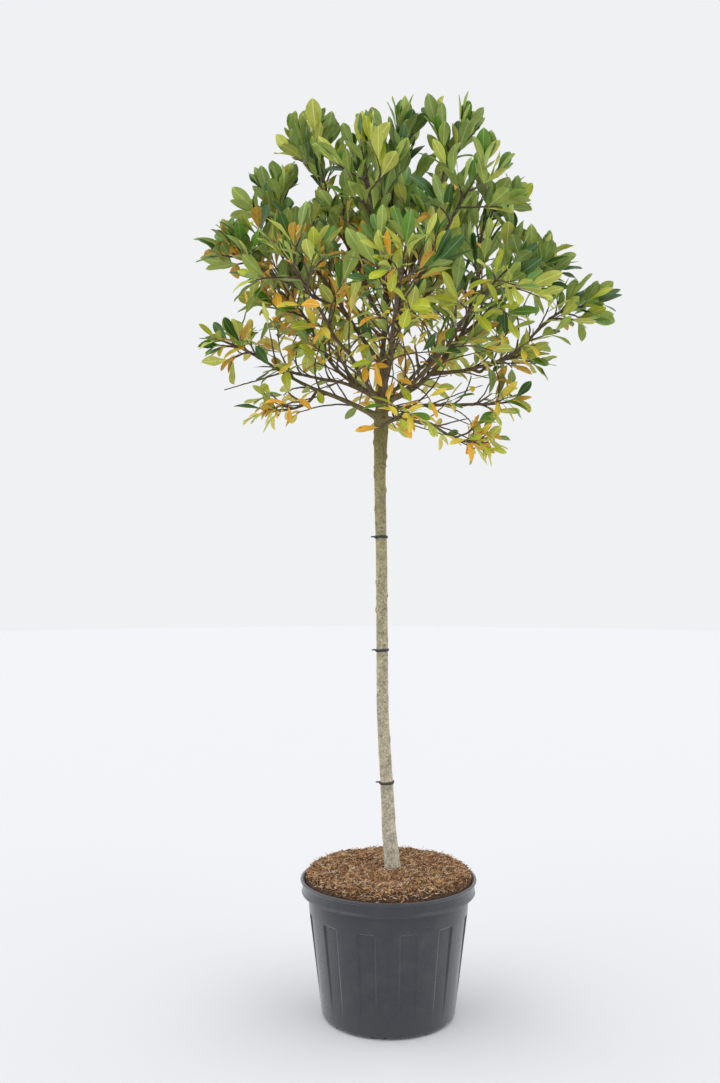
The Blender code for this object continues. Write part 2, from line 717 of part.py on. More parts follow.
def make_mass(number, limb, bough, wide):
    """One mass: a stem that grows on from its bough, twigs round it and leaves on them, fused."""
    rng = random.Random(MASS_SEED + number)
    space = Space(limb)
    tip, heading, radius = bough.at(1.0)
    outward = Vector((space.middle.x, space.middle.y, 0)).normalized()
    aim = (heading * AIM_ON + outward * AIM_OUT + UP * lift(limb.height) * AIM_UP).normalized()
    collar = tip + heading * STEM_COLLAR
    stem = shoot_path(collar, heading, space.twig_end(aim), radius, TWIG_TIP, STEM_STEPS)
    stem = Path([tip + heading * GAP] + stem.points, [radius] + stem.radii)
    body = tube("stem", stem, TWIG_SIDES)
    if not all(space.within(vertex.co) for vertex in body.vertices):
        raise ValueError(f"the stem of {limb.name} leaves its space")
    shoots, parts, blades = [(stem, tree_of(body))], [], []
    for twig in range(limb.twigs):
        grown = twig_on(stem, aim, twig, limb, space, wide, rng)
        if grown:
            shoots.append((grown[0], tree_of(grown[1])))
            parts.append(grown[1])
    for at in range(len(shoots)):
        parts += leaves_on(at, shoots, blades, space, wide, rng)
    place(f"{limb.name}_foliage", fuse(body, parts), "magnolia_leaf")


def main():
    """Clears the scene and makes every piece of the plant."""
    for piece in list(bpy.data.objects):
        bpy.data.objects.remove(piece)
    make_pot()
    make_soil()
    stem = trunk_path()
    place("trunk", trunk_mesh(stem), "magnolia_bark")
    for number, height in enumerate(TIE_HEIGHTS, 1):
        make_tie(number, height)
    paths, wide = make_boughs(stem)
    for number, limb in enumerate(LIMBS):
        make_mass(number, limb, paths[limb.name], wide)


main()
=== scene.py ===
"""A young magnolia trained as a standard, in a nursery pot: what is seen around its solids.

Metres, +Z up. The front is towards -Y and the origin is the middle of the pot's flat underside.
Headings are in degrees, from +X round towards +Y, which is the back.
"""

import json
import math
import random
from collections import namedtuple

import bpy
from mathutils import Matrix, Vector, noise

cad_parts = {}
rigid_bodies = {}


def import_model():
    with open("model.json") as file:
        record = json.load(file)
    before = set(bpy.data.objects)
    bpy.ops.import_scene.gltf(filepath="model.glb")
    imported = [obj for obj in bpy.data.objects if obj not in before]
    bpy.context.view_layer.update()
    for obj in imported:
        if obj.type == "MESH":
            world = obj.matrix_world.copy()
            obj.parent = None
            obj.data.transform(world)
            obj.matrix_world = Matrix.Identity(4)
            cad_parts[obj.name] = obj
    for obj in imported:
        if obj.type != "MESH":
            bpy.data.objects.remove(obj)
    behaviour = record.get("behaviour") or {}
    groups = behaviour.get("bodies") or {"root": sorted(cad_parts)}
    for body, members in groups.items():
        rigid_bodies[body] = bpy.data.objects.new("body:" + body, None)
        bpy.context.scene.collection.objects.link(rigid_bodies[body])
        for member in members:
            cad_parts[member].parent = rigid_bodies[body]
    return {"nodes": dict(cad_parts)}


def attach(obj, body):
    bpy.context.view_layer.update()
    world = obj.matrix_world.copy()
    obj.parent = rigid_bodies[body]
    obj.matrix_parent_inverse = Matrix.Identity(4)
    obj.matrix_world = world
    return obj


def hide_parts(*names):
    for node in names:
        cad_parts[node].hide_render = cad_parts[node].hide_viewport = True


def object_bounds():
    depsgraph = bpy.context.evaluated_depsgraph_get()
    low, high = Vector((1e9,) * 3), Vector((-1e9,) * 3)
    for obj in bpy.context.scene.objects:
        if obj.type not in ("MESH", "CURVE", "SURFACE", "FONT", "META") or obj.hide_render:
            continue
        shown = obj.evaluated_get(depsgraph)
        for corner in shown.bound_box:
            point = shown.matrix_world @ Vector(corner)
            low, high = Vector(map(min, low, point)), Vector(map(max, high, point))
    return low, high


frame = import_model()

bl_info = {
    "name": "Potted magnolia",
    "version": (1, 0, 0),
    "blender": (4, 5, 0),
    "location": "View3D > Sidebar > Magnolia",
    "description": "Builds a standard magnolia in a nursery pot, piece by piece",
    "category": "Add Mesh",
}

CAD_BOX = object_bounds()
NODES = sorted(frame["nodes"])
FOLIAGE_NODES = [name for name in NODES if name.endswith("_foliage")]
UP = Vector((0, 0, 1))
MM = 1000
GOLDEN = math.pi * (3 - math.sqrt(5))
CREASE = math.radians(75)

# Camera, level and a little left of the stem, with the long side of its sensor upright
CAMERA_PLACE = (-0.077, -3.07, 1.278)
CAMERA_LENS = 37.56
CAMERA_SENSOR = 36.0

# Pot, a 45 litre nursery container
FOOT_RADIUS = 0.180
SHOULDER_HEIGHT = 0.282
SHOULDER_RADIUS = 0.2145
NECK_HEIGHT = 0.325
NECK_RADIUS = 0.2175
PANELS = 12
PANEL_HEADING = math.radians(13)
PANEL_WIDTH = 0.053
PANEL_DEPTH = 0.005
PANEL_SLOPE = 0.0065
PANEL_CORNER = 0.010
PANEL_FOOT = 0.045
PANEL_TOP = 0.283
PANEL_FADE = 0.6
# Places across half a sunk panel and half the wall beside it, in millimetres from the panel's middle
PANEL_PLACES = (0, 8, 14, 17, 19, 20, 20.8, 21.6, 22.4, 23.2, 24, 24.8, 25.6, 26.4, 27.4, 30, 36, 45)
DRAINS = 10
DRAIN_HEADING = math.radians(-27.5)
DRAIN_WIDTH = 0.040
DRAIN_HEIGHT = 0.008
DRAIN_INSET = 0.045
DRAIN_EDGE = 0.0007

# Soil, heaped a little over the rim
SOIL_TOP = 0.391
SOIL_EDGE = 0.361
SOIL_SHAPE = 22
SOIL_RADIUS = 0.2262
SOIL_UNDER = 0.330
UNDER_SHARE = 0.93
HEAP_RINGS, HEAP_SIDES, HEAP_SUNK = 56, 150, 0.002
# How high its lumps are and how many there are to a metre
SOIL_LUMPS = ((0.0045, 28), (0.0030, 95))
# At the edge by the lip the shreds are mostly dark: painted shade between soil and pot, and partly damp soil
SHADED_EDGE = 0.004
SHRED_REACH = 0.2280
STEM_CLEAR = 0.024
FIBRE_LENGTH, FIBRE_RADIUS = (0.007, 0.026), (0.0004, 0.0013)
CHIP_LENGTH, CHIP_BREADTH, CHIP_THICKNESS = (0.006, 0.021), (0.003, 0.008), (0.0010, 0.0028)
CHIP_CORNERS = 7

# Trunk, from the soil to where the leader starts
TRUNK_FOOT = 0.3913
TRUNK_TOP = 1.700
TRUNK_LEAN = (
    (0.00, 0.010),
    (0.13, 0.000),
    (0.45, -0.016),
    (0.80, -0.018),
    (1.07, -0.023),
    (1.31, -0.017),
)
TRUNK_GIRTH = 0.0305
FLARE_GIRTH = 0.0135
FLARE_HEIGHT = 0.20
ROOT_LOBES = 5
ROOT_RELIEF = 0.0025
ROOT_HEIGHT = 0.05
FORK_HEIGHT = 1.610
FORK_GIRTH = 0.0095
FORK_SPREAD = 0.10
LEADER_GIRTH = 0.024
TRUNK_STEPS, TRUNK_FINE_STEPS = 22, 260
TRUNK_SIDES, GROWN_SIDES, BOUGH_SIDES = 28, 14, 12
TIE_HEIGHTS = (0.624, 0.983, 1.290)
TIE_ASKEW = 0.0012
TIE_ROUND, TIE_SIDES = 56, 10
# Healed knots on the trunk: height, heading, breadth and relief in millimetres
KNOTS = (
    (1.546, 182, 12, 3.6),
    (1.509, -6, 11, 4.0),
    (1.462, 176, 16, 2.4),
    (1.418, -14, 12, 3.6),
    (1.366, 184, 11, 2.2),
    (1.168, 186, 10, 2.6),
    (1.133, -8, 9, 2.4),
    (1.092, 178, 11, 3.8),
    (1.010, -20, 10, 1.8),
    (0.925, -75, 9, 1.6),
    (0.850, -4, 16, 1.8),
    (0.744, 4, 14, 1.6),
    (0.700, 188, 12, 1.4),
    (0.530, 8, 14, 1.4),
    (1.240, 95, 11, 3.0),
    (0.980, 70, 10, 2.6),
    (1.390, 110, 12, 3.2),
    (0.790, 120, 12, 2.0),
)
# Rings left by old buds: height and relief in millimetres
RING_SCARS = ((1.480, 1.9), (1.575, 1.2), (1.128, 1.0), (0.895, 0.8), (1.330, 0.7))
RING_BREADTH, RING_WAVE, RING_WAVES = 0.0035, 0.004, 160
KNOT_SHARE, DIMPLE_SHARE, DIMPLE_DEPTH = 0.62, 0.38, 0.35
# Plates, pits and grain of the bark to a metre, and how far the first two are drawn out upwards
BARK_PLATES, BARK_PITS, BARK_GRAIN = 90, 240, 520
BARK_STRETCH = 0.45
# Colours of the bark by the share of the way up from the soil to the crown; the dark top ones partly painted
# shade
BARK_COLOURS = (
    (0.00, "B4AC9A"),
    (0.20, "ABA28A"),
    (0.55, "9B9275"),
    (0.72, "8A825A"),
    (0.80, "746D3D"),
    (0.88, "665739"),
    (1.00, "5D4D38"),
)

# Boughs, which end in the first of these shares of the way out through their mass that has room
BOUGH_TIP = 0.0042
BOUGH_TAPER = 0.8
BOUGH_WOBBLE = 0.004
BOUGH_KINK = 0.005
BOUGH_STEP = 0.065
BOUGH_LEAST_STEPS = 4
ENTERS = (0.72, 0.60, 0.50, 0.40, 0.30)
TIP_ROOM = 0.012
COLLAR_GROWTH = 0.55
COLLAR_LENGTH = 0.022
WOOD_STEP = 0.006
WOOD_SHARE, SWELLING, SWELLINGS = 0.88, 0.07, 38
GROWN_OVERLAP = 0.020
BOUGH_RELIEF = 0.7

# Shoots turn up more the higher they are: level at LEVEL_HEIGHT and upright UPRIGHT_RISE above it
LEVEL_HEIGHT = 1.62
UPRIGHT_RISE = 0.55

# Stems and twigs. A mass's stem aims partly on from its bough, partly outwards and partly up.
TWIG_BASE = 0.0034
TWIG_TIP = 0.0019
STEM_COLLAR = 0.008
AIM_ON, AIM_OUT, AIM_UP = 0.6, 0.5, 0.7
SHOOT_BOW = 0.45
TWIG_NEAREST, TWIG_SPAN = 0.70, 0.55
TWIG_SPLAY, TWIG_SPREAD = math.radians(38), math.radians(78)
TWIG_JITTER = 0.25
TWIG_RISE = 0.1
TWIG_SHORTER = 0.8
LEAST_SHARE = 0.2
LEAF_ROOM = 0.078
LEAST_REACH = 0.30
SPACE_MARGIN = 0.0008

# Leaves
LEAF_DROOP = 0.10
LEAF_SIZES = (0.72, 1.04)
LEAF_WIDEST = (0.95, 1.30)
LEAF_FOLD, LEAF_WAVE = (0.06, 0.36), (0.01, 0.11)
# The middle and the spread of a leaf's bend and twist, in radians
LEAF_BEND, LEAF_TWIST = (0.20, 0.28), (0.0, 0.30)
LEAST_BEND = 0.02
# Splay of a leaf from its shoot in degrees: the tip's, more at the lowest leaf, more where the shoot is level
SPLAY, SPLAY_LOWER, SPLAY_LEVEL = 11, 24, 26
FACES_ON, FACES_UP, FACES_IN = 0.6, 0.7, 0.3
# Turns round the twig and sizes that a leaf tries until it has room
LEAF_TRIES = ((0.0, 1.0), (0.7, 1.0), (-0.7, 1.0), (1.4, 0.9), (-1.4, 0.9), (0.0, 0.75))
# Places down a leaf from its root to its tip, and half its breadth there, as a share of the widest
LEAF_OUTLINE = (
    (0.00, 0.05),
    (0.10, 0.05),
    (0.22, 0.30),
    (0.40, 0.68),
    (0.58, 0.96),
    (0.70, 1.00),
    (0.83, 0.83),
    (0.93, 0.50),
    (1.00, 0.06),
)
FIRST_OLD, OLD_WIDTH, OLD_CURL = 3, 0.78, 0.30
LEAF_THICKNESS = 0.0005
EDGE_ROOM = (0.004, 0.012, 0.0)
BARE_BELOW, BARE_BREADTH, STEM_SIDE = 1.605, 0.050, -0.018
STALK_THICKNESS = 0.0018

# Crown
CROWN_HEIGHT = 1.97
CROWN_REACH = (0.52, 0.48, 0.50)
# Each is the height or place where a change starts, and how far on it is complete
# Paler below is partly painted light on the lower crown's leaves
TURNS_BELOW, STAYS_GREEN, PALER_BELOW = (1.92, 0.30), (2.06, 0.14), (2.06, 0.36)
OPENS_ABOVE, THINS_RIGHT = (1.98, 0.20), (0.42, 0.10)
# Share of old leaves anywhere, more inside the crown, low down and on the left
OLD_ANYWHERE, OLD_INSIDE, OLD_LOW, OLD_LEFT, MOST_OLD = 0.02, 1.5, 1.30, 0.30, 0.9
SHORTEST = 0.02
SHOOT_LENGTH, SPUR_LENGTH, BARE_LENGTH = (0.070, 0.140), (0.070, 0.190), (0.030, 0.120)
SPUR_GAP, FIRST_SPUR, LOWEST_SPUR = (0.014, 0.034), 0.08, 1.55
DROOPS_TO = -0.25
JOINT_GAP, JOINT_SWELLING, JOINT_KINK = 0.012, 1.16, 0.0009
BUD_LENGTH, BUD_RADIUS = (0.013, 0.020), 0.0038
# Places up a bud, and its breadth there as a share of the widest
BUD_OUTLINE = ((-0.1, 0.5), (0.15, 0.95), (0.45, 1.0), (0.75, 0.6), (1.0, 0.12))

# Lamps: name, the way towards it, its share of the main lamp's strength, and its breadth in degrees
LAMPS = (("key", (-0.95, -0.12, 0.55), 1.0, 95), ("fill", (0.95, -0.08, 0.50), 0.85, 95))
FLOOR_SIDES = 96

# Each limb, with the mass of foliage that it carries.
# parent and along: what it grows from, and the height on the trunk or the share of the parent's length.
# girth: its diameter at the base in millimetres. sweep: how much of its run comes before its rise.
# heading, out, height: where the middle of its mass is. width, tall: half the mass's breadth and height.
Limb = namedtuple("Limb", "name parent along girth sweep arch heading out height width tall twigs")
LIMBS = (
    Limb("leader", "trunk", 1.700, 23, 0.80, 0.00, 60, 0.020, 2.335, 0.120, 0.190, 6),
    Limb("leader_left", "leader", 0.34, 13, 0.55, 0.00, 181, 0.205, 2.310, 0.120, 0.150, 5),
    Limb("upright_right", "trunk", 1.688, 15, 0.40, 0.00, -9, 0.165, 2.336, 0.110, 0.180, 5),
    Limb("top_front", "leader", 0.45, 11, 0.55, 0.00, 253, 0.210, 2.200, 0.160, 0.160, 5),
    Limb("top_back", "leader", 0.50, 11, 0.50, 0.00, 84, 0.200, 2.290, 0.170, 0.170, 5),
    Limb("steep_left", "leader", 0.10, 15, 0.50, 0.00, 175, 0.300, 2.180, 0.145, 0.150, 5),
    Limb("shoulder_left", "steep_left", 0.45, 10, 0.55, 0.00, 187, 0.400, 2.035, 0.135, 0.115, 5),
    Limb("bough_right", "trunk", 1.660, 18, 0.88, 0.00, 6, 0.305, 2.175, 0.115, 0.135, 5),
    Limb("shoulder_right", "bough_right", 0.50, 10, 0.50, 0.00, -10, 0.380, 1.990, 0.145, 0.125, 6),
    Limb("far_right", "bough_right", 0.28, 12, 0.74, -0.02, 1, 0.512, 1.905, 0.150, 0.100, 5),
    Limb("right_spur", "far_right", 0.30, 9, 0.50, -0.02, 7, 0.350, 1.775, 0.120, 0.090, 4),
    Limb("level_right", "trunk", 1.640, 14, 0.50, 0.01, 2, 0.290, 1.655, 0.125, 0.090, 4),
    Limb("low_right", "trunk", 1.598, 13, 0.50, 0.05, -16, 0.240, 1.555, 0.120, 0.095, 4),
    Limb("low_left", "trunk", 1.612, 18, 0.52, 0.00, 184, 0.400, 1.795, 0.145, 0.100, 5),
    Limb("hanging_left", "low_left", 0.50, 9, 0.50, 0.01, 190, 0.300, 1.650, 0.155, 0.085, 4),
    Limb("level_left", "trunk", 1.668, 14, 0.70, 0.00, 172, 0.280, 1.935, 0.140, 0.110, 5),
    Limb("low_front", "trunk", 1.606, 10, 0.50, 0.01, -78, 0.200, 1.600, 0.120, 0.090, 3),
    Limb("low_back", "trunk", 1.630, 14, 0.60, 0.00, 92, 0.280, 1.680, 0.180, 0.130, 3),
    Limb("front_left", "trunk", 1.652, 15, 0.55, 0.00, 229, 0.350, 1.930, 0.180, 0.180, 5),
    Limb("front_middle", "trunk", 1.676, 14, 0.55, 0.00, 273, 0.380, 1.900, 0.180, 0.180, 5),
    Limb("front_right", "trunk", 1.640, 14, 0.60, 0.00, -48, 0.370, 1.890, 0.180, 0.180, 6),
    Limb("back_left", "trunk", 1.655, 16, 0.60, 0.00, 124, 0.370, 1.900, 0.190, 0.180, 4),
    Limb("back_right", "trunk", 1.676, 15, 0.60, 0.00, 56, 0.375, 1.900, 0.190, 0.180, 5),
    Limb("upper_front", "upright_right", 0.45, 10, 0.55, 0.00, -50, 0.300, 2.140, 0.175, 0.170, 5),
    Limb("upper_left", "leader", 0.26, 12, 0.60, 0.00, 128, 0.315, 2.130, 0.180, 0.170, 5),
    Limb("upper_right", "upright_right", 0.30, 12, 0.60, 0.00, 50, 0.330, 2.140, 0.180, 0.170, 5),
    Limb("flat_left", "trunk", 1.655, 12, 0.45, 0.02, 176, 0.270, 1.745, 0.110, 0.080, 4),
)
BOUGH_SEED = 7
MASS_SEED = 7000
SOIL_SEED = 70
CROWN_SEED = 71

# Colours of the leaves, upper side and under side, from the greenest to the oldest
TINTS = {
    "deep": ("335A17", "82964A"),
    "fresh": ("567E1A", "96A84E"),
    "pale": ("A6AE28", "BCC158"),
    "yellow": ("DCC43E", "DACA6A"),
    "amber": ("DFA626", "CFA23E"),
}
TINT_NAMES = tuple(TINTS)

# Colours of the soil's shreds of bark and coir, and each one's weight: all over, and at the edge as painted
# shade
SHREDS = {
    "dark": ("5A4534", 20, 60),
    "brown": ("926C4B", 34, 30),
    "tan": ("C29E74", 33, 10),
    "rust": ("A0683F", 6, 0),
    "grey": ("C6BAA6", 8, 0),
}


def linear_rgb(code):
    """An sRGB hex colour as linear red, green, blue and alpha."""
    channels = [int(code[at : at + 2], 16) / 255 for at in (0, 2, 4)]
    linear = [c / 12.92 if c <= 0.04045 else ((c + 0.055) / 1.055) ** 2.4 for c in channels]
    return (*linear, 1.0)


def shade(code, factor, more=0.0):
    """A hex colour made darker or lighter, as linear red, green, blue and alpha."""
    return (*[min(part * factor + more, 1.0) for part in linear_rgb(code)[:3]], 1.0)


def feed(tree, node, feeds):
    """Gives a node's inputs their values or links."""
    for name, value in feeds.items():
        if isinstance(value, bpy.types.NodeSocket):
            tree.links.new(value, node.inputs[name])
        else:
            node.inputs[name].default_value = value


def add(tree, kind, feeds=None, stops=None, out=None, **settings):
    """Adds a node with its settings, inputs and ramp's stops. Gives the output out, or the first in use."""
    node = tree.nodes.new("ShaderNode" + kind)
    for name, value in settings.items():
        setattr(node, name, value)
    feed(tree, node, feeds or {})
    if stops:
        elements = node.color_ramp.elements
        while len(elements) < len(stops):
            elements.new(0.5)
        for element, (place, colour) in zip(elements, stops):
            element.position = place
            element.color = colour
    return node.outputs[out] if out else next(output for output in node.outputs if output.enabled)


def start_material(name, roughness, ior, **more):
    """A new material with its node tree and shader. None of this plant's finishes is a metal."""
    material = bpy.data.materials.new(name)
    material.use_nodes = True
    tree = material.node_tree
    shader = tree.nodes["Principled BSDF"]
    feed(tree, shader, {"Roughness": roughness, "IOR": ior, "Metallic": 0.0, **more})
    return material, tree, shader


def grey(value):
    """A grey for a ramp's stop."""
    return (value, value, value, 1.0)


class Pile:
    """The corners and faces of many small pieces of one kind, gathered for one mesh."""

    def __init__(self):
        self.points = []
        self.faces = []
        self.slots = []
        self.places = []

    def put(self, points, faces, slot=0, places=None):
        """Adds a piece. slot is one material slot or a list of one for each face."""
        first = len(self.points)
        self.points.extend(points)
        self.faces.extend([[first + corner for corner in face] for face in faces])
        self.slots.extend(slot if isinstance(slot, list) else [slot] * len(faces))
        self.places.extend(places or [(0.0, 0.0)] * len(points))

    def piece(self, name, materials, smooth=True, mapped=False):
        """The pile as an object in the scene."""
        mesh = bpy.data.meshes.new(name)
        mesh.from_pydata([tuple(point) for point in self.points], [], self.faces)
        for material in materials:
            mesh.materials.append(material)
        mesh.polygons.foreach_set("material_index", self.slots)
        mesh.polygons.foreach_set("use_smooth", [smooth] * len(self.faces))
        if mapped:
            layer = mesh.uv_layers.new(name="outline")
            corners = [0] * len(mesh.loops)
            mesh.loops.foreach_get("vertex_index", corners)
            layer.data.foreach_set("uv", [part for corner in corners for part in self.places[corner]])
        mesh.update()
        mesh.set_sharp_from_angle(angle=CREASE)
        piece = bpy.data.objects.new(name, mesh)
        bpy.context.scene.collection.objects.link(piece)
        return piece


def dress(piece, nodes):
    """The piece rides on the plant's one body and stands for the nodes."""
    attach(piece, "root")
    if nodes:
        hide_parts(*nodes)


class Path:
    """A run of points with a radius at each, read by the share of its length."""

    def __init__(self, points, radii):
        self.points = points
        self.radii = radii
        self.marks = [0.0]
        for one, two in zip(points, points[1:]):
            self.marks.append(self.marks[-1] + (two - one).length)

    @property
    def length(self):
        """The whole run's length."""
        return self.marks[-1]

    def at(self, share):
        """The point, direction and radius at a share of the length."""
        wanted = clamp(share) * self.length
        step = 0
        while step < len(self.points) - 2 and self.marks[step + 1] < wanted:
            step += 1
        part = (wanted - self.marks[step]) / (self.marks[step + 1] - self.marks[step])
        point = self.points[step].lerp(self.points[step + 1], part)
        direction = (self.points[step + 1] - self.points[step]).normalized()
        radius = self.radii[step] + (self.radii[step + 1] - self.radii[step]) * part
        return point, direction, radius

    def smooth(self, spacing):
        """The same run on a smooth curve through its points, with points that far apart."""
        ends = [self.points[0] * 2 - self.points[1]] + self.points
        ends.append(self.points[-1] * 2 - self.points[-2])
        points, radii = [], []
        for step in range(len(self.points) - 1):
            before, one, two, after = ends[step : step + 4]
            pieces = max(1, round((two - one).length / spacing))
            for part in range(pieces):
                t = part / pieces
                point = one * 2 + (two - before) * t
                point += (before * 2 - one * 5 + two * 4 - after) * t * t
                point += (one * 3 - before - two * 3 + after) * t * t * t
                points.append(point / 2)
                radii.append(self.radii[step] + (self.radii[step + 1] - self.radii[step]) * t)
        return Path(points + [self.points[-1]], radii + [self.radii[-1]])

    def part(self, low, high):
        """The run between two distances from its start."""
        inner = [at for at, mark in enumerate(self.marks) if low < mark < high]
        first, last = self.at(low / self.length), self.at(high / self.length)
        points = [first[0]] + [self.points[at] for at in inner] + [last[0]]
        return Path(points, [first[2]] + [self.radii[at] for at in inner] + [last[2]])


def lathe(rings, count):
    """Faces of a closed solid from rings of the same count of corners, each joined to the next."""
    faces = [list(range(count))[::-1], list(range((rings - 1) * count, rings * count))]
    for ring in range(rings - 1):
        for turn in range(count):
            low, next_low = ring * count + turn, ring * count + (turn + 1) % count
            faces.append([low, next_low, next_low + count, low + count])
    return faces


def tube(path, sides, shape=None):
    """Corners and faces of a closed tapering tube along a path. shape(step, angle) adds to the radius."""
    points = path.points
    side = Vector((1, 0, 0))
    corners = []
    for step, point in enumerate(points):
        before, after = points[max(step - 1, 0)], points[min(step + 1, len(points) - 1)]
        along = (after - before).normalized()
        side = (side - along * side.dot(along)).normalized()
        across = along.cross(side)
        for turn in range(sides):
            angle = math.tau * turn / sides
            radius = path.radii[step] + (shape(step, angle) if shape else 0.0)
            corners.append(point + (side * math.cos(angle) + across * math.sin(angle)) * radius)
    return corners, lathe(len(points), sides)


def clamp(value, most=1.0):
    """The value, but no less than nought and no more than most."""
    return min(max(value, 0.0), most)


def ease(value):
    """Nought below nought, one above one, and a smooth rise between."""
    value = clamp(value)
    return value * value * (3 - 2 * value)


def polar(angle, radius, height=0.0):
    """The point at that angle and distance from the pot's axis, and that height."""
    return Vector((math.cos(angle) * radius, math.sin(angle) * radius, height))


def square_to(axis, turn):
    """A direction square to the axis, turned about it."""
    return Matrix.Rotation(turn, 3, axis) @ axis.orthogonal().normalized()


def bent(base, pull, tip, share):
    """The point at a share of the curve from base to tip, which pull draws towards itself."""
    return base * (1 - share) ** 2 + pull * 2 * share * (1 - share) + tip * share**2


# The pot
def wall_radius(height):
    """The pot's outer wall between its sunk panels."""
    if height <= SHOULDER_HEIGHT:
        return FOOT_RADIUS + (SHOULDER_RADIUS - FOOT_RADIUS) * height / SHOULDER_HEIGHT
    rise = (height - SHOULDER_HEIGHT) / (NECK_HEIGHT - SHOULDER_HEIGHT)
    return SHOULDER_RADIUS + (NECK_RADIUS - SHOULDER_RADIUS) * rise


def pot_profile():
    """Heights and radii from the pot's middle out under its foot, up its wall and rim, and back in."""
    profile = [(DRAIN_HEIGHT, 0.030), (DRAIN_HEIGHT, 0.120), (0.006, 0.130), (0.0, 0.136), (0.0, 0.160)]
    profile += [(0.0, 0.1690), (0.0009, 0.1732), (0.0030, 0.1768), (0.0060, 0.1796)]
    profile.append((0.0100, wall_radius(0.0100)))
    heights = [0.016, 0.026, 0.038, 0.050, 0.066, 0.085, 0.110, 0.140, 0.170, 0.200, 0.230, 0.250, 0.262]
    heights += [0.268 + 0.0008 * step for step in range(20)]
    heights += [0.286, 0.292, 0.304, 0.316]
    profile += [(height, wall_radius(height)) for height in heights]
    # The rim: its underside, a small bead, the flat band, the rolled lip, and the wall inside
    profile += [(0.3245, 0.2173), (0.3266, 0.2182), (0.3280, 0.2205), (0.3290, 0.2260), (0.3297, 0.2312)]
    profile += [(0.3307, 0.2340), (0.3324, 0.2350), (0.3342, 0.2346), (0.3360, 0.2334), (0.3400, 0.2328)]
    profile += [(0.3500, 0.2331), (0.3585, 0.2336), (0.3602, 0.2342), (0.3612, 0.2360), (0.3628, 0.2378)]
    profile += [(0.3652, 0.2385), (0.3673, 0.2378), (0.3685, 0.2362), (0.3690, 0.2338), (0.3686, 0.2314)]
    profile += [(0.3670, 0.2299), (0.3640, 0.2290), (0.350, 0.2225), (0.335, 0.2160), (0.335, 0.030)]
    return profile


def panel_depth(off, height):
    """How far in a sunk panel is at a place: round at its top corners, and fading out downwards."""
    across, below = PANEL_WIDTH / 2 - abs(off), PANEL_TOP - height
    inside = min(across, below)
    if max(across, below) < PANEL_CORNER:
        inside = PANEL_CORNER - math.hypot(PANEL_CORNER - across, PANEL_CORNER - below)
    grown = clamp((height - PANEL_FOOT) / (PANEL_TOP - PANEL_FOOT)) ** PANEL_FADE
    return PANEL_DEPTH * grown * ease(inside / PANEL_SLOPE)


def from_nearest(angle, heading, sector):
    """How far an angle is from the nearest of the headings that repeat every sector."""
    return (angle - heading + sector / 2) % sector - sector / 2


def make_pot(look):
    """The pot's wall with its sunk panels, deep rim band, rolled lip and drain gaps."""
    sector, drains = math.tau / PANELS, math.tau / DRAINS
    offsets = sorted({side * place / MM for place in PANEL_PLACES for side in (-1, 1)})
    panels = [PANEL_HEADING + panel * sector for panel in range(PANELS)]
    angles = [panel + offset / SHOULDER_RADIUS for panel in panels for offset in offsets]
    edge = DRAIN_WIDTH / 2
    for drain in range(DRAINS):
        for place in (-edge - DRAIN_EDGE, DRAIN_EDGE - edge, edge - DRAIN_EDGE, edge + DRAIN_EDGE):
            angles.append(DRAIN_HEADING + drain * drains + place / FOOT_RADIUS)
    angles = sorted(angle % math.tau for angle in angles)
    profile = pot_profile()
    points = []
    for height, radius in profile:
        for angle in angles:
            off = from_nearest(angle, PANEL_HEADING, sector) * SHOULDER_RADIUS
            gap = abs(from_nearest(angle, DRAIN_HEADING, drains)) * FOOT_RADIUS < edge
            raised = DRAIN_HEIGHT if gap and radius > FOOT_RADIUS - DRAIN_INSET else 0.0
            level = max(height, raised) if height < 2 * DRAIN_HEIGHT else height
            points.append(polar(angle, radius - panel_depth(off, height), level))
    pile = Pile()
    pile.put(points, lathe(len(profile), len(angles)))
    pot = pile.piece("nursery_pot", [moulded_polypropylene(look.colour, look.dust)])
    dress(pot, ["pot"])


def moulded_polypropylene(colour, dust):
    """Black injection moulded polypropylene: a slate sheen, bright where it turns away, and dusty scuffs."""
    material, tree, shader = start_material("moulded_polypropylene", 0.38, 1.49)
    # A film of fine dust brightens the wall where it turns away
    feed(tree, shader, {"Sheen Weight": 0.30, "Sheen Roughness": 0.45})
    place = add(tree, "TexCoord", out="Object")
    # Scuffs and dried drips are 20 to 60 mm across, so their noise repeats every 45 mm
    smudge = add(tree, "TexNoise", {"Vector": place, "Scale": 1 / 0.045, "Detail": 6.0, "Roughness": 0.62})
    # Grit is 2 to 4 mm across
    grit = add(tree, "TexNoise", {"Vector": place, "Scale": 1 / 0.004, "Detail": 3.0})
    dusty = add(tree, "ValToRGB", {"Fac": smudge}, stops=((0.48, grey(0.0)), (0.85, grey(dust * 0.5))))
    speck = add(tree, "ValToRGB", {"Fac": grit}, stops=((0.66, grey(0.0)), (0.74, grey(dust))))
    # Splashed dust fades out 90 mm above the floor
    height = add(tree, "SeparateXYZ", {"Vector": place}, out="Z")
    fading = {"From Min": 0.0, "From Max": 0.09, "To Min": dust * 0.3, "To Max": 0.0}
    splash = add(tree, "MapRange", {"Value": height, **fading})
    both = add(tree, "Math", {0: dusty, 1: splash}, operation="MAXIMUM")
    all_dust = add(tree, "Math", {0: both, 1: speck}, operation="MAXIMUM")
    mixed = {"Factor": all_dust, "A": tuple(colour), "B": linear_rgb("8B867C")}
    base = add(tree, "Mix", mixed, data_type="RGBA")
    worn = {"From Min": 0.3, "From Max": 0.7, "To Min": 0.24, "To Max": 0.36}
    rough = add(tree, "MapRange", {"Value": smudge, **worn})
    grain = add(tree, "Bump", {"Height": grit, "Strength": 0.12, "Distance": 0.0004})
    feed(tree, shader, {"Base Color": base, "Roughness": rough, "Normal": grain})
    return material


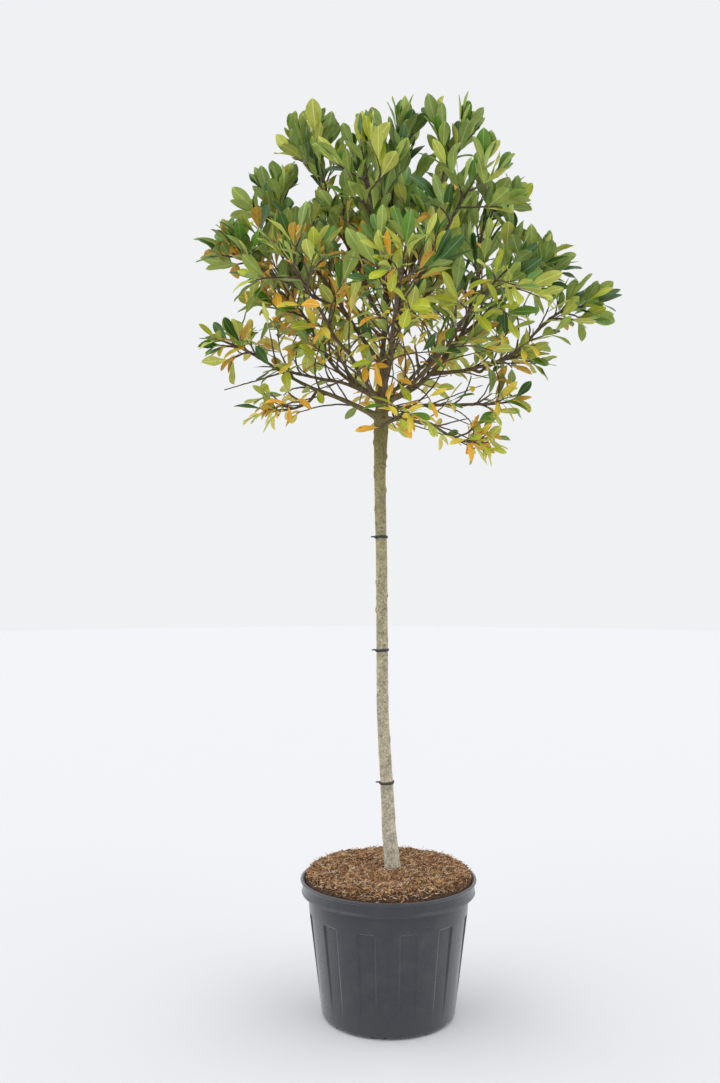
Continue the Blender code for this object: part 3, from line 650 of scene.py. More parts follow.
# The soil
def heap_height(x, y):
    """The soil's rough surface at a place."""
    share = min(math.hypot(x, y) / SOIL_RADIUS, 1.0)
    level = SOIL_EDGE + (SOIL_TOP - SOIL_EDGE) * (1 - share**SOIL_SHAPE)
    for number, (rise, lumps) in enumerate(SOIL_LUMPS):
        level += rise * noise.noise(Vector((x, y, number)) * lumps)
    return level


def within_rim(corners):
    """Whether a shred lies clear of the pot's wall."""
    return all(math.hypot(corner.x, corner.y) < SHRED_REACH for corner in corners)


def make_soil(look):
    """The heap itself, and the loose shreds of bark and coir that cover it."""
    rng = random.Random(SOIL_SEED)
    points = []
    for ring in range(HEAP_RINGS):
        radius = SOIL_RADIUS * (1 - ring / HEAP_RINGS)
        for turn in range(HEAP_SIDES):
            angle = math.tau * turn / HEAP_SIDES
            x, y = math.cos(angle) * radius, math.sin(angle) * radius
            points.append(Vector((x, y, heap_height(x, y) - HEAP_SUNK)))
    foot = [Vector((point.x * UNDER_SHARE, point.y * UNDER_SHARE, SOIL_UNDER)) for point in points[:HEAP_SIDES]]
    pile = Pile()
    pile.put(foot + points, lathe(HEAP_RINGS + 1, HEAP_SIDES))
    heap = pile.piece("soil_heap", [bark_shreds("shreds_ground", "4E3A2B")])
    dress(heap, ["soil"])

    finishes = [bark_shreds(f"shreds_{name}", code) for name, (code, _, _) in SHREDS.items()]
    dry, edge_shade_weights = [[shred[column] for shred in SHREDS.values()] for column in (1, 2)]
    stem = stem_middle(SOIL_TOP)

    def spot(spare):
        """A place on the heap, clear of its edge and of the trunk."""
        while True:
            radius = math.sqrt(rng.random()) * (SOIL_RADIUS - spare)
            angle = rng.uniform(0, math.tau)
            x, y = math.cos(angle) * radius, math.sin(angle) * radius
            if math.hypot(x - stem.x, y - stem.y) > STEM_CLEAR:
                return x, y

    def finish_at(x, y):
        """Which of the finishes a shred has there: mostly the dark one at the edge, as painted shade by the
        lip.
        """
        in_edge_shade = math.hypot(x, y) > SOIL_RADIUS - SHADED_EDGE
        return rng.choices(range(len(finishes)), edge_shade_weights if in_edge_shade else dry)[0]

    fibres = Pile()
    for _ in range(look.fibres):
        x, y = spot(0.001)
        length = rng.uniform(*FIBRE_LENGTH) * (1 if rng.random() < 0.85 else 1.5)
        girth = rng.uniform(*FIBRE_RADIUS)
        heading = rng.uniform(0, math.tau)
        rise = rng.gauss(0.0, 0.28) if rng.random() < 0.85 else rng.uniform(0.3, 1.1)
        way = polar(heading, 1.0, rise).normalized()
        bend = Vector((rng.uniform(-1, 1), rng.uniform(-1, 1), rng.uniform(-0.6, 1))) * length * 0.16
        middle = Vector((x, y, heap_height(x, y) + rng.uniform(0.0, 0.0045)))
        ends = [middle - way * length / 2, middle + bend, middle + way * length / 2]
        ends = [Vector((end.x, end.y, max(end.z, heap_height(end.x, end.y) - 0.002))) for end in ends]
        if within_rim(ends):
            fibres.put(*tube(Path(ends, [girth * 0.6, girth, girth * 0.5]), 3), finish_at(x, y))
    dress(fibres.piece("coir_fibres", finishes, smooth=False), [])

    chips = Pile()
    for _ in range(look.chips):
        x, y = spot(0.003)
        length, breadth = rng.uniform(*CHIP_LENGTH), rng.uniform(*CHIP_BREADTH)
        thickness = rng.uniform(*CHIP_THICKNESS)
        turn = Matrix.Rotation(rng.uniform(0, math.tau), 3, "Z")
        tilt = Matrix.Rotation(rng.gauss(0, 0.35), 3, "X") @ Matrix.Rotation(rng.gauss(0, 0.35), 3, "Y")
        middle = Vector((x, y, heap_height(x, y) + rng.uniform(0.0, 0.004)))
        outline = []
        for corner in range(CHIP_CORNERS):
            angle = math.tau * corner / CHIP_CORNERS
            reach = rng.uniform(0.62, 1.0)
            outline.append((math.cos(angle) * length / 2 * reach, math.sin(angle) * breadth / 2 * reach))
        corners = []
        for side in (-1, 1):
            for a, b in outline:
                cupped = side * thickness / 2 + 0.10 * a * b / breadth
                corners.append(middle + turn @ tilt @ Vector((a, b, cupped)))
        if within_rim(corners):
            chips.put(corners, lathe(2, CHIP_CORNERS), finish_at(x, y))
    dress(chips.piece("bark_chips", finishes, smooth=False), [])


def bark_shreds(name, code):
    """Shredded bark and coir, dried on top: fully matt, with a streaky colour and no sheen."""
    material, tree, shader = start_material(name, 0.92, 1.45)
    place = add(tree, "TexCoord", out="Object")
    # Each shred differs from the next, so the noise repeats every 6 mm
    streak = add(tree, "TexNoise", {"Vector": place, "Scale": 1 / 0.006, "Detail": 4.0})
    dark = (*[part**1.25 for part in linear_rgb(code)[:3]], 1.0)
    shades = ((0.30, dark), (0.52, linear_rgb(code)), (0.72, shade(code, 1.35)))
    tone = add(tree, "ValToRGB", {"Fac": streak}, stops=shades)
    rough = add(tree, "Bump", {"Height": streak, "Strength": 0.5, "Distance": 0.0012})
    feed(tree, shader, {"Base Color": tone, "Normal": rough})
    return material


# The trunk and boughs
def stem_middle(height):
    """The trunk's middle at a height, on a smooth run through its leans."""
    above = height - SOIL_TOP
    starts = [at for at in range(len(TRUNK_LEAN) - 1) if TRUNK_LEAN[at][0] <= above or at == 0]
    (low, left), (high, right) = TRUNK_LEAN[starts[-1]], TRUNK_LEAN[starts[-1] + 1]
    share = (above - low) / (high - low)
    eased = share * share * (3 - 2 * share)
    return Vector((left + (right - left) * (share + eased) / 2, 0, height))


def stem_radius(height):
    """The trunk's radius: a flare at the foot, a swelling at the fork and a narrower top."""
    girth = TRUNK_GIRTH + FLARE_GIRTH * math.exp(-(height - SOIL_TOP) / FLARE_HEIGHT)
    girth += FORK_GIRTH * math.exp(-(((height - FORK_HEIGHT) / FORK_SPREAD) ** 2))
    if height > FORK_HEIGHT:
        share = (height - FORK_HEIGHT) / (TRUNK_TOP - FORK_HEIGHT)
        girth += (LEADER_GIRTH - girth) * share
    return girth / 2


def trunk_path(steps):
    """The clear stem's run, from the soil to where the leader starts."""
    rise = TRUNK_TOP - TRUNK_FOOT
    heights = [TRUNK_FOOT + rise * step / steps for step in range(steps + 1)]
    return Path([stem_middle(height) for height in heights], [stem_radius(height) for height in heights])


def mass_middle(limb):
    """Where the middle of the limb's mass is."""
    return polar(math.radians(limb.heading), limb.out, limb.height)


class Space:
    """The room of one mass: its ellipsoid, cut off halfway to each neighbour."""

    def __init__(self, limb):
        self.middle = mass_middle(limb)
        self.size = Vector((limb.width, limb.width, limb.tall))
        self.walls = []
        for other in LIMBS:
            if other.name == limb.name:
                continue
            way = mass_middle(other) - self.middle
            far = way.length
            wall = (far * far + limb.width**2 - other.width**2) / (2 * far)
            self.walls.append((way / far, wall - SPACE_MARGIN))

    def within(self, point, spare=0.0):
        """Whether a point is on this mass's side of every wall."""
        offset = point - self.middle
        return all(offset.dot(way) < wall - spare for way, wall in self.walls)

    def holds(self, point, share=1.0):
        """Whether a point is inside the ellipsoid at that share of its size."""
        offset = point - self.middle
        return sum((offset[axis] / self.size[axis]) ** 2 for axis in range(3)) < share * share

    def reach(self, way):
        """How far the ellipsoid's surface is from its middle towards way."""
        return 1 / math.sqrt(sum((way[axis] / self.size[axis]) ** 2 for axis in range(3)))

    def twig_end(self, way, share=1.0):
        """Where a twig towards way ends: a leaf's length inside the ellipsoid, at that share of the way."""
        far = self.reach(way)
        end = self.middle + way * share * max(far - LEAF_ROOM, far * LEAST_REACH)
        if self.within(end, TIP_ROOM) or share < LEAST_SHARE:
            return end
        return self.twig_end(way, share * TWIG_SHORTER)


def bough_path(limb, paths, rng):
    """The limb's run from inside its parent to where it enters its mass."""
    base = stem_middle(limb.along) if limb.parent == "trunk" else paths[limb.parent].at(limb.along)[0]
    space = Space(limb)
    inward = (base - space.middle).normalized()
    entries = [space.middle + inward * space.reach(inward) * share for share in ENTERS]
    tip = next((entry for entry in entries if space.within(entry, TIP_ROOM)), entries[-1])
    run = Vector((tip.x - base.x, tip.y - base.y, 0))
    rise = Vector((0, 0, tip.z - base.z))
    pull = base + run * limb.sweep + rise * (1 - limb.sweep) + UP * limb.arch
    steps = max(BOUGH_LEAST_STEPS, round((tip - base).length / BOUGH_STEP))
    points, radii = [], []
    root = limb.girth / 2 / MM
    for step in range(steps + 1):
        share = step / steps
        point = bent(base, pull, tip, share)
        if 1 < step < steps:
            point += Vector([rng.uniform(-1, 1) for _ in range(3)]) * BOUGH_WOBBLE
        points.append(point)
        radii.append(root + (BOUGH_TIP - root) * share**BOUGH_TAPER)
    return Path(points, radii)


def limb_paths():
    """Every limb's run by name, with the trunk's. Each bough has a small kink at its joints."""
    rng = random.Random(BOUGH_SEED)
    kinks = random.Random(BOUGH_SEED)
    paths = {"trunk": trunk_path(TRUNK_STEPS)}
    for limb in LIMBS:
        path = bough_path(limb, paths, rng)
        for point in path.points[1:-1]:
            point += Vector([kinks.uniform(-1, 1) for _ in range(3)]) * BOUGH_KINK
        paths[limb.name] = Path(path.points, path.radii)
    return paths


def wood_run(limb, paths):
    """The limb on a smooth curve, with a collar where it leaves its parent and swellings along it."""
    path = paths[limb.name].smooth(WOOD_STEP)
    number = LIMBS.index(limb)
    inside = stem_radius(limb.along) if limb.parent == "trunk" else paths[limb.parent].at(limb.along)[2]
    for at, mark in enumerate(path.marks):
        outside = max(mark - inside, 0.0)
        path.radii[at] *= 1 + COLLAR_GROWTH * math.exp(-outside / COLLAR_LENGTH)
        path.radii[at] *= WOOD_SHARE + SWELLING * noise.noise(Vector((mark * SWELLINGS, number * 3.7, 0)))
    return path


def bark_relief(point, size):
    """How far the bark stands out at a place: upright plates and pits, and a fine grain."""
    stretched = Vector((point.x, point.y, point.z * BARK_STRETCH))
    relief = 0.55 * noise.noise(stretched * BARK_PLATES) + 0.30 * noise.noise(stretched * BARK_PITS)
    return size * (relief + 0.15 * noise.noise(point * BARK_GRAIN))


def knot_relief(point):
    """How far the healed knots and ring scars of the trunk stand out at a place."""
    relief = 0.0
    for height, heading, breadth, raised in KNOTS:
        if abs(point.z - height) > 3 * breadth / MM:
            continue
        middle = stem_middle(height) + polar(math.radians(heading), stem_radius(height))
        far = (point - middle).length * MM / (breadth * KNOT_SHARE)
        relief += raised / MM * math.exp(-far * far)
        relief -= raised / MM * DIMPLE_DEPTH * math.exp(-((far / DIMPLE_SHARE) ** 2))
    for height, raised in RING_SCARS:
        far = (point.z - height + RING_WAVE * math.sin(point.x * RING_WAVES)) / RING_BREADTH
        if abs(far) < 3:
            relief += raised / MM * math.exp(-far * far)
    return relief


def make_wood(look):
    """The trunk with the bases of its boughs as one grown surface, and the boughs on from there."""
    paths = limb_paths()
    finish = [magnolia_bark()]
    trunk = trunk_path(TRUNK_FINE_STEPS)

    def roots(step, angle):
        """How far the root flare's lobes stand out."""
        fade = math.exp(-(trunk.points[step].z - TRUNK_FOOT) / ROOT_HEIGHT)
        return ROOT_RELIEF * fade * math.cos(ROOT_LOBES * angle)

    grown = Pile()
    grown.put(*tube(trunk, TRUNK_SIDES, roots))
    boughs = Pile()
    for limb in LIMBS:
        run = wood_run(limb, paths)
        start = 0.0
        if limb.parent == "trunk":
            grown.put(*tube(run.part(0.0, min(look.grown_length, run.length * 0.9)), GROWN_SIDES))
            start = look.grown_length - GROWN_OVERLAP
        if start < run.length * 0.85:
            boughs.put(*tube(run.part(start, run.length), BOUGH_SIDES))
    stem = grown.piece("magnolia_trunk", finish)
    remesh = stem.modifiers.new("grown together", "REMESH")
    remesh.mode = "VOXEL"
    remesh.voxel_size = look.voxel
    remesh.use_smooth_shade = True
    soften = stem.modifiers.new("soften", "SMOOTH")
    soften.factor = 0.5
    soften.iterations = 4
    bpy.context.view_layer.update()
    evaluated = stem.evaluated_get(bpy.context.evaluated_depsgraph_get())
    grown_mesh = bpy.data.meshes.new_from_object(evaluated)
    stem.modifiers.clear()
    stem.data = grown_mesh
    relieve(grown_mesh, look.relief, True)
    dress(stem, ["trunk"])
    limbs = boughs.piece("magnolia_boughs", finish)
    relieve(limbs.data, look.relief * BOUGH_RELIEF, False)
    dress(limbs, [limb.name for limb in LIMBS])


def relieve(mesh, size, knotted):
    """Moves a mesh's surface out by its bark's relief, and by the knots of the clear stem."""
    mesh.update()
    normals = [vertex.normal.copy() for vertex in mesh.vertices]
    for vertex, normal in zip(mesh.vertices, normals):
        point = vertex.co.copy()
        relief = bark_relief(point, size)
        if knotted and point.z < FORK_HEIGHT:
            relief += knot_relief(point)
        vertex.co = point + normal * relief
    mesh.polygons.foreach_set("use_smooth", [True] * len(mesh.polygons))
    mesh.update()


def magnolia_bark():
    """Young magnolia bark: thin, dry and matt; beige-grey low down, green with algae, in the crown dark brown,
    partly painted shade.
    """
    material, tree, shader = start_material("magnolia_bark", 0.82, 1.45)
    place = add(tree, "TexCoord", out="Object")
    # Patches of lichen and algae are 15 to 30 mm long, so the noise repeats every 20 mm
    patch = add(tree, "TexNoise", {"Vector": place, "Scale": 1 / 0.020, "Detail": 7.0, "Roughness": 0.72})
    # Pores, pits and flecks of lichen are 3 to 5 mm across
    pores = add(tree, "TexNoise", {"Vector": place, "Scale": 1 / 0.0055, "Detail": 5.0, "Roughness": 0.75})
    height = add(tree, "SeparateXYZ", {"Vector": place}, out="Z")
    uneven = add(tree, "Math", {0: patch, 1: 0.24, 2: height}, operation="MULTIPLY_ADD")
    # From the soil at 0.39 m, with the noise's middle of 0.12 m on top, to the crown at 1.85 m
    rise = add(tree, "MapRange", {"Value": uneven, "From Min": 0.51, "From Max": 1.97})
    # The ramp's dark brown top, reached in the crown, is partly painted shade of the leaves around
    clean = add(tree, "ValToRGB", {"Fac": rise}, stops=[(at, linear_rgb(code)) for at, code in BARK_COLOURS])
    mottle = ((0.36, grey(0.60)), (0.48, grey(0.93)), (0.54, grey(1.02)), (0.66, grey(1.30)))
    flecks = ((0.36, grey(0.40)), (0.47, grey(0.96)), (0.54, grey(1.06)), (0.64, grey(1.50)))
    base = clean
    for pattern, stops in ((patch, mottle), (pores, flecks)):
        over = add(tree, "ValToRGB", {"Fac": pattern}, stops=stops)
        blend = {"Factor": 1.0, "A": base, "B": over}
        base = add(tree, "Mix", blend, data_type="RGBA", blend_type="MULTIPLY")
    rough = add(tree, "Bump", {"Height": pores, "Strength": 0.55, "Distance": 0.0010})
    feed(tree, shader, {"Base Color": base, "Normal": rough})
    return material


# The ties
def make_ties(look):
    """The soft bands round the stem, pulled a little askew, each with its short tail on the left."""
    finish = [soft_rubber()]
    for number, height in enumerate(TIE_HEIGHTS, 1):
        middle = stem_middle(height)
        inner = max(stem_radius(height - look.depth / 2), stem_radius(height + look.depth / 2))
        points, faces = [], []
        for turn in range(TIE_ROUND):
            angle = math.tau * turn / TIE_ROUND
            askew = TIE_ASKEW * math.sin(angle + number)
            outward = polar(angle, 1.0)
            one, two = turn * TIE_SIDES, (turn + 1) % TIE_ROUND * TIE_SIDES
            for side in range(TIE_SIDES):
                roll = math.tau * side / TIE_SIDES
                out = inner + look.thickness / 2 + look.thickness * 0.62 * math.cos(roll)
                rise = look.depth / 2 * 0.94 * math.sin(roll) + askew
                points.append(middle + outward * out + UP * rise)
                beside = (side + 1) % TIE_SIDES
                faces.append([one + side, two + side, two + beside, one + beside])
        pile = Pile()
        pile.put(points, faces)
        left = middle - Vector((inner + look.thickness * 0.4, 0, 0))
        tail = [left, left + Vector((-0.005, -0.001, 0.0012)), left + Vector((-look.tail, -0.002, 0.0004))]
        pile.put(*tube(Path(tail, [0.0024, 0.0021, 0.0017]).smooth(0.0015), 10))
        front = [-inner * 0.72 - 0.002 + 0.004 * part for part in (0, 1)]
        knot = [middle + Vector((-inner * 0.80, y, -0.001)) for y in front]
        pile.put(*tube(Path(knot, [0.0040, 0.0034]), 10))
        dress(pile.piece(f"tie_band_{number}", finish), [f"tie_{number}"])


def soft_rubber():
    """Black rubber tube for tying, extruded: matt, with a dull gleam where it is stretched."""
    material, tree, shader = start_material("extruded_rubber", 0.58, 1.52)
    place = add(tree, "TexCoord", out="Object")
    # Dust lies in patches of about 8 mm
    dust = add(tree, "TexNoise", {"Vector": place, "Scale": 1 / 0.008, "Detail": 4.0})
    shades = ((0.40, linear_rgb("1D1E20")), (0.75, linear_rgb("3A3A39")))
    feed(tree, shader, {"Base Color": add(tree, "ValToRGB", {"Fac": dust}, stops=shades)})
    return material


# The crown
def lift(height):
    """How strongly shoots turn up: upright in the top of the crown, spreading at its foot."""
    return (height - LEVEL_HEIGHT) / UPRIGHT_RISE


def shoot_path(base, start_way, tip, base_radius, tip_radius, steps):
    """A shoot that leaves along start_way and ends at tip."""
    pull = base + start_way * (tip - base).length * SHOOT_BOW
    shares = [step / steps for step in range(steps + 1)]
    radii = [base_radius + (tip_radius - base_radius) * share for share in shares]
    return Path([bent(base, pull, tip, share) for share in shares], radii)


def inside_box(point):
    """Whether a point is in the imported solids' box, with room for a leaf's edge beside it."""
    return all(low + room < at < high - room for at, low, high, room in zip(point, *CAD_BOX, EDGE_ROOM))


def clear_of_stem(point):
    """Whether a point leaves the bare stem below the fork in sight from the front."""
    return point.z > BARE_BELOW or abs(point.x - STEM_SIDE) > BARE_BREADTH


class Crown:
    """Everything that grows on the boughs, gathered by kind."""

    def __init__(self, look):
        self.look = look
        self.rng = random.Random(CROWN_SEED)
        self.twigs = Pile()
        self.buds = Pile()
        self.leaves = {name: Pile() for name in TINTS}

    def depth(self, point):
        """How deep inside the crown a point is: one at its middle and nought at its outside."""
        wide, deep, tall = CROWN_REACH
        off = Vector((point.x / wide, point.y / deep, (point.z - CROWN_HEIGHT) / tall))
        return max(1 - off.length, 0.0)

    def autumn(self, point):
        """How likely an old leaf there has turned: inside the crown and low down, and never at the top."""
        low = ease((TURNS_BELOW[0] - point.z) / TURNS_BELOW[1])
        left = ease(0.2 - point.x / 0.35)
        right = ease(point.x / 0.25)
        depth = self.depth(point)
        turned = OLD_ANYWHERE + OLD_INSIDE * depth * (1 - 0.7 * right) + OLD_LOW * low
        turned += OLD_LEFT * left * ease(depth / 0.25)
        green = ease((point.z - STAYS_GREEN[0]) / STAYS_GREEN[1])
        return min(self.look.autumn * turned, MOST_OLD) * (1 - green)

    def tint(self, point):
        """The colour of a spray there: paler low down, partly as painted light on the lower crown."""
        # Paler tints low down are partly painted light that lifts the leaves of the lower crown
        low = clamp((PALER_BELOW[0] - point.z) / PALER_BELOW[1])
        roll = self.rng.random()
        if roll < 0.10 + 0.66 * low:
            return 2
        return 1 if roll < 0.66 + 0.28 * low else 0

    def leaf(self, root, way, face_up, length, tint):
        """Puts one leaf there, folded along its midrib and arched down its length."""
        rng = self.rng
        across = way.cross(face_up).normalized()
        above = across.cross(way).normalized()
        width = length * rng.uniform(*self.look.leaf_shape) * (0.55 + 0.45 * self.vigour(root))
        widest = rng.uniform(*LEAF_WIDEST)
        bend = rng.gauss(*LEAF_BEND)
        fold = rng.uniform(*LEAF_FOLD)
        twist = rng.gauss(*LEAF_TWIST)
        if tint >= FIRST_OLD:
            width *= OLD_WIDTH
            fold += OLD_CURL
            bend += OLD_CURL
        wave, phase = rng.uniform(*LEAF_WAVE), rng.uniform(0, math.tau)
        if abs(bend) < LEAST_BEND:
            bend = LEAST_BEND
        points, places = [], []
        for mark, share in LEAF_OUTLINE:
            place = mark**widest
            turned = bend * place
            middle = root + way * length * math.sin(turned) / bend
            middle -= above * length * (1 - math.cos(turned)) / bend
            up = above * math.cos(turned) + way * math.sin(turned)
            side = across * math.cos(twist * place) + up * math.sin(twist * place)
            up = up * math.cos(twist * place) - across * math.sin(twist * place)
            half = width / 2 * share
            thick = STALK_THICKNESS if place < 0.2 else LEAF_THICKNESS
            ripple = width * wave * math.sin(9 * place + phase)
            raised = up * (half * fold + ripple * share)
            counter = up * (half * fold - ripple * share)
            points += [middle + side * half + raised, middle + up * thick / 2]
            points += [middle - side * half + counter, middle - up * thick / 2]
            places += [(0.5 + share / 2, place), (0.5, place), (0.5 - share / 2, place), (0.5, place)]
        faces, slots = [], []
        last = len(LEAF_OUTLINE) - 1
        for step in range(last):
            a, b = step * 4, step * 4 + 4
            faces += [[a, b, b + 1], [a, b + 1, a + 1], [a + 1, b + 1, a + 2], [b + 1, b + 2, a + 2]]
            faces += [[a + 2, b + 2, b + 3], [a + 2, b + 3, a + 3], [a + 3, b + 3, a], [b + 3, b, a]]
            slots += [0] * 4 + [1] * 4
        faces += [[0, 1, 2, 3], [last * 4 + 3, last * 4 + 2, last * 4 + 1, last * 4]]
        slots += [1, 1]
        self.leaves[TINT_NAMES[tint]].put(points, faces, slots, places)

    def spray(self, path, count, size, space=None):
        """Leaves by the golden angle down a shoot from its tip, the lowest ones the most splayed."""
        rng = self.rng
        end = path.at(1.0)[0]
        tint = self.tint(end)
        turn = rng.uniform(0, math.tau)
        back = 0.002
        rise = clamp(lift(end.z), 1.2)
        for number in range(count):
            part = number / max(count - 1, 1)
            root, along, radius = path.at(1 - back / path.length)
            side = along.orthogonal().normalized()
            splay = math.radians(SPLAY + SPLAY_LOWER * part + SPLAY_LEVEL * (1 - rise)) + rng.gauss(0, 0.13)
            length = self.look.leaf_length * size * rng.uniform(*LEAF_SIZES) * (1 - 0.15 * part)
            own = tint
            if rng.random() < 0.30:
                own = min(max(tint + rng.choice((-1, 1)), 0), 2)
            if part > 0.35 and rng.random() < self.autumn(root):
                own = 4 if rng.random() < 0.70 - 0.25 * ease((2.0 - root.z) / 0.3) else 3
            flat = 1.0 if rng.random() < 0.35 + 0.65 * rise else 0.45
            for extra, smaller in LEAF_TRIES:
                around = Matrix.Rotation(turn + extra, 3, along) @ side
                way = along * math.cos(splay) + around * math.sin(splay)
                way.z = way.z * flat + 0.45 * rise - LEAF_DROOP * (1 + 1.5 * part) * (1.3 - rise)
                way.normalize()
                face_up = along * FACES_ON + UP * FACES_UP - around * FACES_IN
                tip = root + way * length * smaller
                if inside_box(tip) and clear_of_stem(tip) and self.has_room(tip, space):
                    self.leaf(root + way * radius * 0.3, way, face_up, length * smaller, own)
                    break
            turn += GOLDEN + rng.gauss(0, 0.15)
            back += self.look.leaf_gap * rng.uniform(0.7, 1.3) * (0.5 if number < 3 else 1.0)
            if back > path.length * 0.9:
                break
        if rise > 0.3 and rng.random() < 0.6:
            self.bud(end, path.at(1.0)[1])

    def has_room(self, tip, space):
        """Whether a leaf's tip is within its mass's reach, or inside the crown that all share."""
        return space is None or space.holds(tip, 1.02) or self.depth(tip) > 0.22

    def bud(self, end, along):
        """A pointed downy bud on a shoot's end."""
        length = self.rng.uniform(*BUD_LENGTH)
        points = [end + along * length * place for place, _ in BUD_OUTLINE]
        self.buds.put(*tube(Path(points, [BUD_RADIUS * breadth for _, breadth in BUD_OUTLINE]), 6))

    def shoot(self, path, sides=5):
        """Puts one shoot there, swollen and slightly turned at each of its joints."""
        rng = self.rng
        fine = path.smooth(JOINT_GAP)
        for at in range(1, len(fine.points) - 1):
            fine.points[at] += Vector([rng.uniform(-1, 1) for _ in range(3)]) * JOINT_KINK
            if at % 2:
                fine.radii[at] *= JOINT_SWELLING
        self.twigs.put(*tube(Path(fine.points, fine.radii), sides))

    def side_shoots(self, path, space, count):
        """Finer shoots on a twig, each turned up as its height asks and ending inside the mass."""
        rng = self.rng
        turn = rng.uniform(0, math.tau)
        for number in range(count):
            base, along, radius = path.at(0.20 + 0.55 * (number + rng.random() * 0.7) / count)
            side = square_to(along, turn)
            splay = math.radians(rng.uniform(30, 60))
            way = along * math.cos(splay) + side * math.sin(splay)
            way.z = max(way.z + 0.9 * lift(base.z), DROOPS_TO)
            way.normalize()
            length = rng.uniform(*SHOOT_LENGTH) + 0.05 * clamp(lift(base.z))
            while length > SHORTEST and not self.has_room(base + way * (length + 0.055), space):
                length *= 0.8
            if length > SHORTEST and inside_box(base + way * (length + 0.05)):
                self.grow_shoot(base, along, way, length, min(TWIG_TIP, radius * 0.8), space)
            turn += GOLDEN

    def grow_shoot(self, base, along, way, length, girth, space):
        """A leafy shoot of that length, which leaves nearer to along than it ends."""
        end = base + way * length
        shoot = shoot_path(base, (along + way).normalized(), end, girth, TWIG_TIP * 0.8, 4)
        self.shoot(shoot, 4)
        high = clamp(lift(end.z))
        fewest, most = self.look.side_leaves
        count = round(self.rng.uniform(fewest, most) * (0.50 + 0.50 * high))
        self.spray(shoot, count, 0.90 * self.vigour(end), space)

    def open_top(self, point):
        """How open the crown is there: it thins out at the top, most of all on the right."""
        return ease((point.z - OPENS_ABOVE[0]) / OPENS_ABOVE[1]) * (0.45 + 0.55 * ease(point.x / 0.15 + 0.2))

    def far_out(self, point):
        """How far out on the right a point is, where the sprays are few."""
        return ease((point.x - THINS_RIGHT[0]) / THINS_RIGHT[1])

    def vigour(self, point):
        """How large leaves grow there: full at the top of the crown and smaller low down."""
        return 0.74 + 0.26 * clamp(lift(point.z) * 1.4)

    def mass(self, number, limb, bough):
        """One mass: a stem that grows on from its bough, twigs round it, and finer shoots on those."""
        rng = random.Random(MASS_SEED + number)
        space = Space(limb)
        tip, heading, radius = bough.at(1.0)
        outward = Vector((space.middle.x, space.middle.y, 0)).normalized()
        aim = (heading * AIM_ON + outward * AIM_OUT + UP * lift(limb.height) * AIM_UP).normalized()
        collar = tip + heading * STEM_COLLAR
        stem = shoot_path(collar, heading, space.twig_end(aim), radius, TWIG_TIP, 6)
        stem = Path([tip - heading * 0.004] + stem.points, [radius] + stem.radii)
        self.shoot(stem, 6)
        shoots = [stem]
        for twig in range(limb.twigs):
            spread = (twig + 0.5) / limb.twigs
            splay = TWIG_SPLAY + TWIG_SPREAD * spread
            turn = twig * GOLDEN + rng.uniform(-TWIG_JITTER, TWIG_JITTER)
            around = square_to(aim, turn)
            way = (aim * math.cos(splay) + around * math.sin(splay) + UP * TWIG_RISE).normalized()
            base, along, _ = stem.at(TWIG_NEAREST - TWIG_SPAN * spread)
            end = space.twig_end(way)
            run = (end - base).length
            high = clamp(lift(end.z), 1.2)
            start_way = along * 0.5 + (end - base).normalized() * 0.6 - UP * 0.45 * high
            path = shoot_path(base, start_way.normalized(), end, TWIG_BASE * 0.9, TWIG_TIP, 5)
            if run > SHORTEST:
                self.shoot(path)
                shoots.append(path)
        for path in shoots:
            end = path.at(1.0)[0]
            high = clamp(lift(end.z))
            fewest, most = self.look.end_leaves
            open_here = self.open_top(end) * (0.15 + 0.15 * ease((end.x - 0.12) / 0.10))
            count = round(self.rng.uniform(fewest, most) * (0.5 + 0.5 * high - open_here))
            self.spray(path, count, self.vigour(end), space)
            chance = self.look.side_shoots * (1 - 0.75 * self.open_top(end)) * (1 - 0.6 * self.far_out(end))
            if self.rng.random() < chance:
                self.side_shoots(path, space, 1)

    def spurs(self, limb, bough):
        """Inner growth along a bough: leafy shoots turned up, and low down thin sparse twigs."""
        rng = self.rng
        turn = rng.uniform(0, math.tau)
        mark = FIRST_SPUR
        while mark < bough.length:
            base, along, radius = bough.at(mark / bough.length)
            side = square_to(along, turn)
            high = clamp(lift(base.z))
            splay = math.radians(rng.uniform(30, 75))
            way = along * math.cos(splay) + side * math.sin(splay)
            leafy = rng.random() < self.look.leafy_spurs * (0.5 + 1.4 * high) * (1 - self.open_top(base))
            way.z = max(way.z + (1.0 if leafy else 0.15) * (0.15 + high), DROOPS_TO)
            way.normalize()
            girth = min(0.0026, radius * 0.7)
            if leafy:
                length = rng.uniform(*SPUR_LENGTH)
                if inside_box(base + way * (length + 0.09)):
                    self.grow_shoot(base, along, way, length, girth, None)
            else:
                length = rng.uniform(*BARE_LENGTH) * (1.7 - high)
                if inside_box(base + way * (length + 0.06)) and base.z + way.z * length > LOWEST_SPUR:
                    path = shoot_path(base, way, base + way * length, girth, 0.0013, 4)
                    self.shoot(path, 4)
                    if rng.random() < 0.65:
                        self.spray(path, rng.randint(1, 4), 0.72)
            turn += GOLDEN
            mark += rng.uniform(*SPUR_GAP)


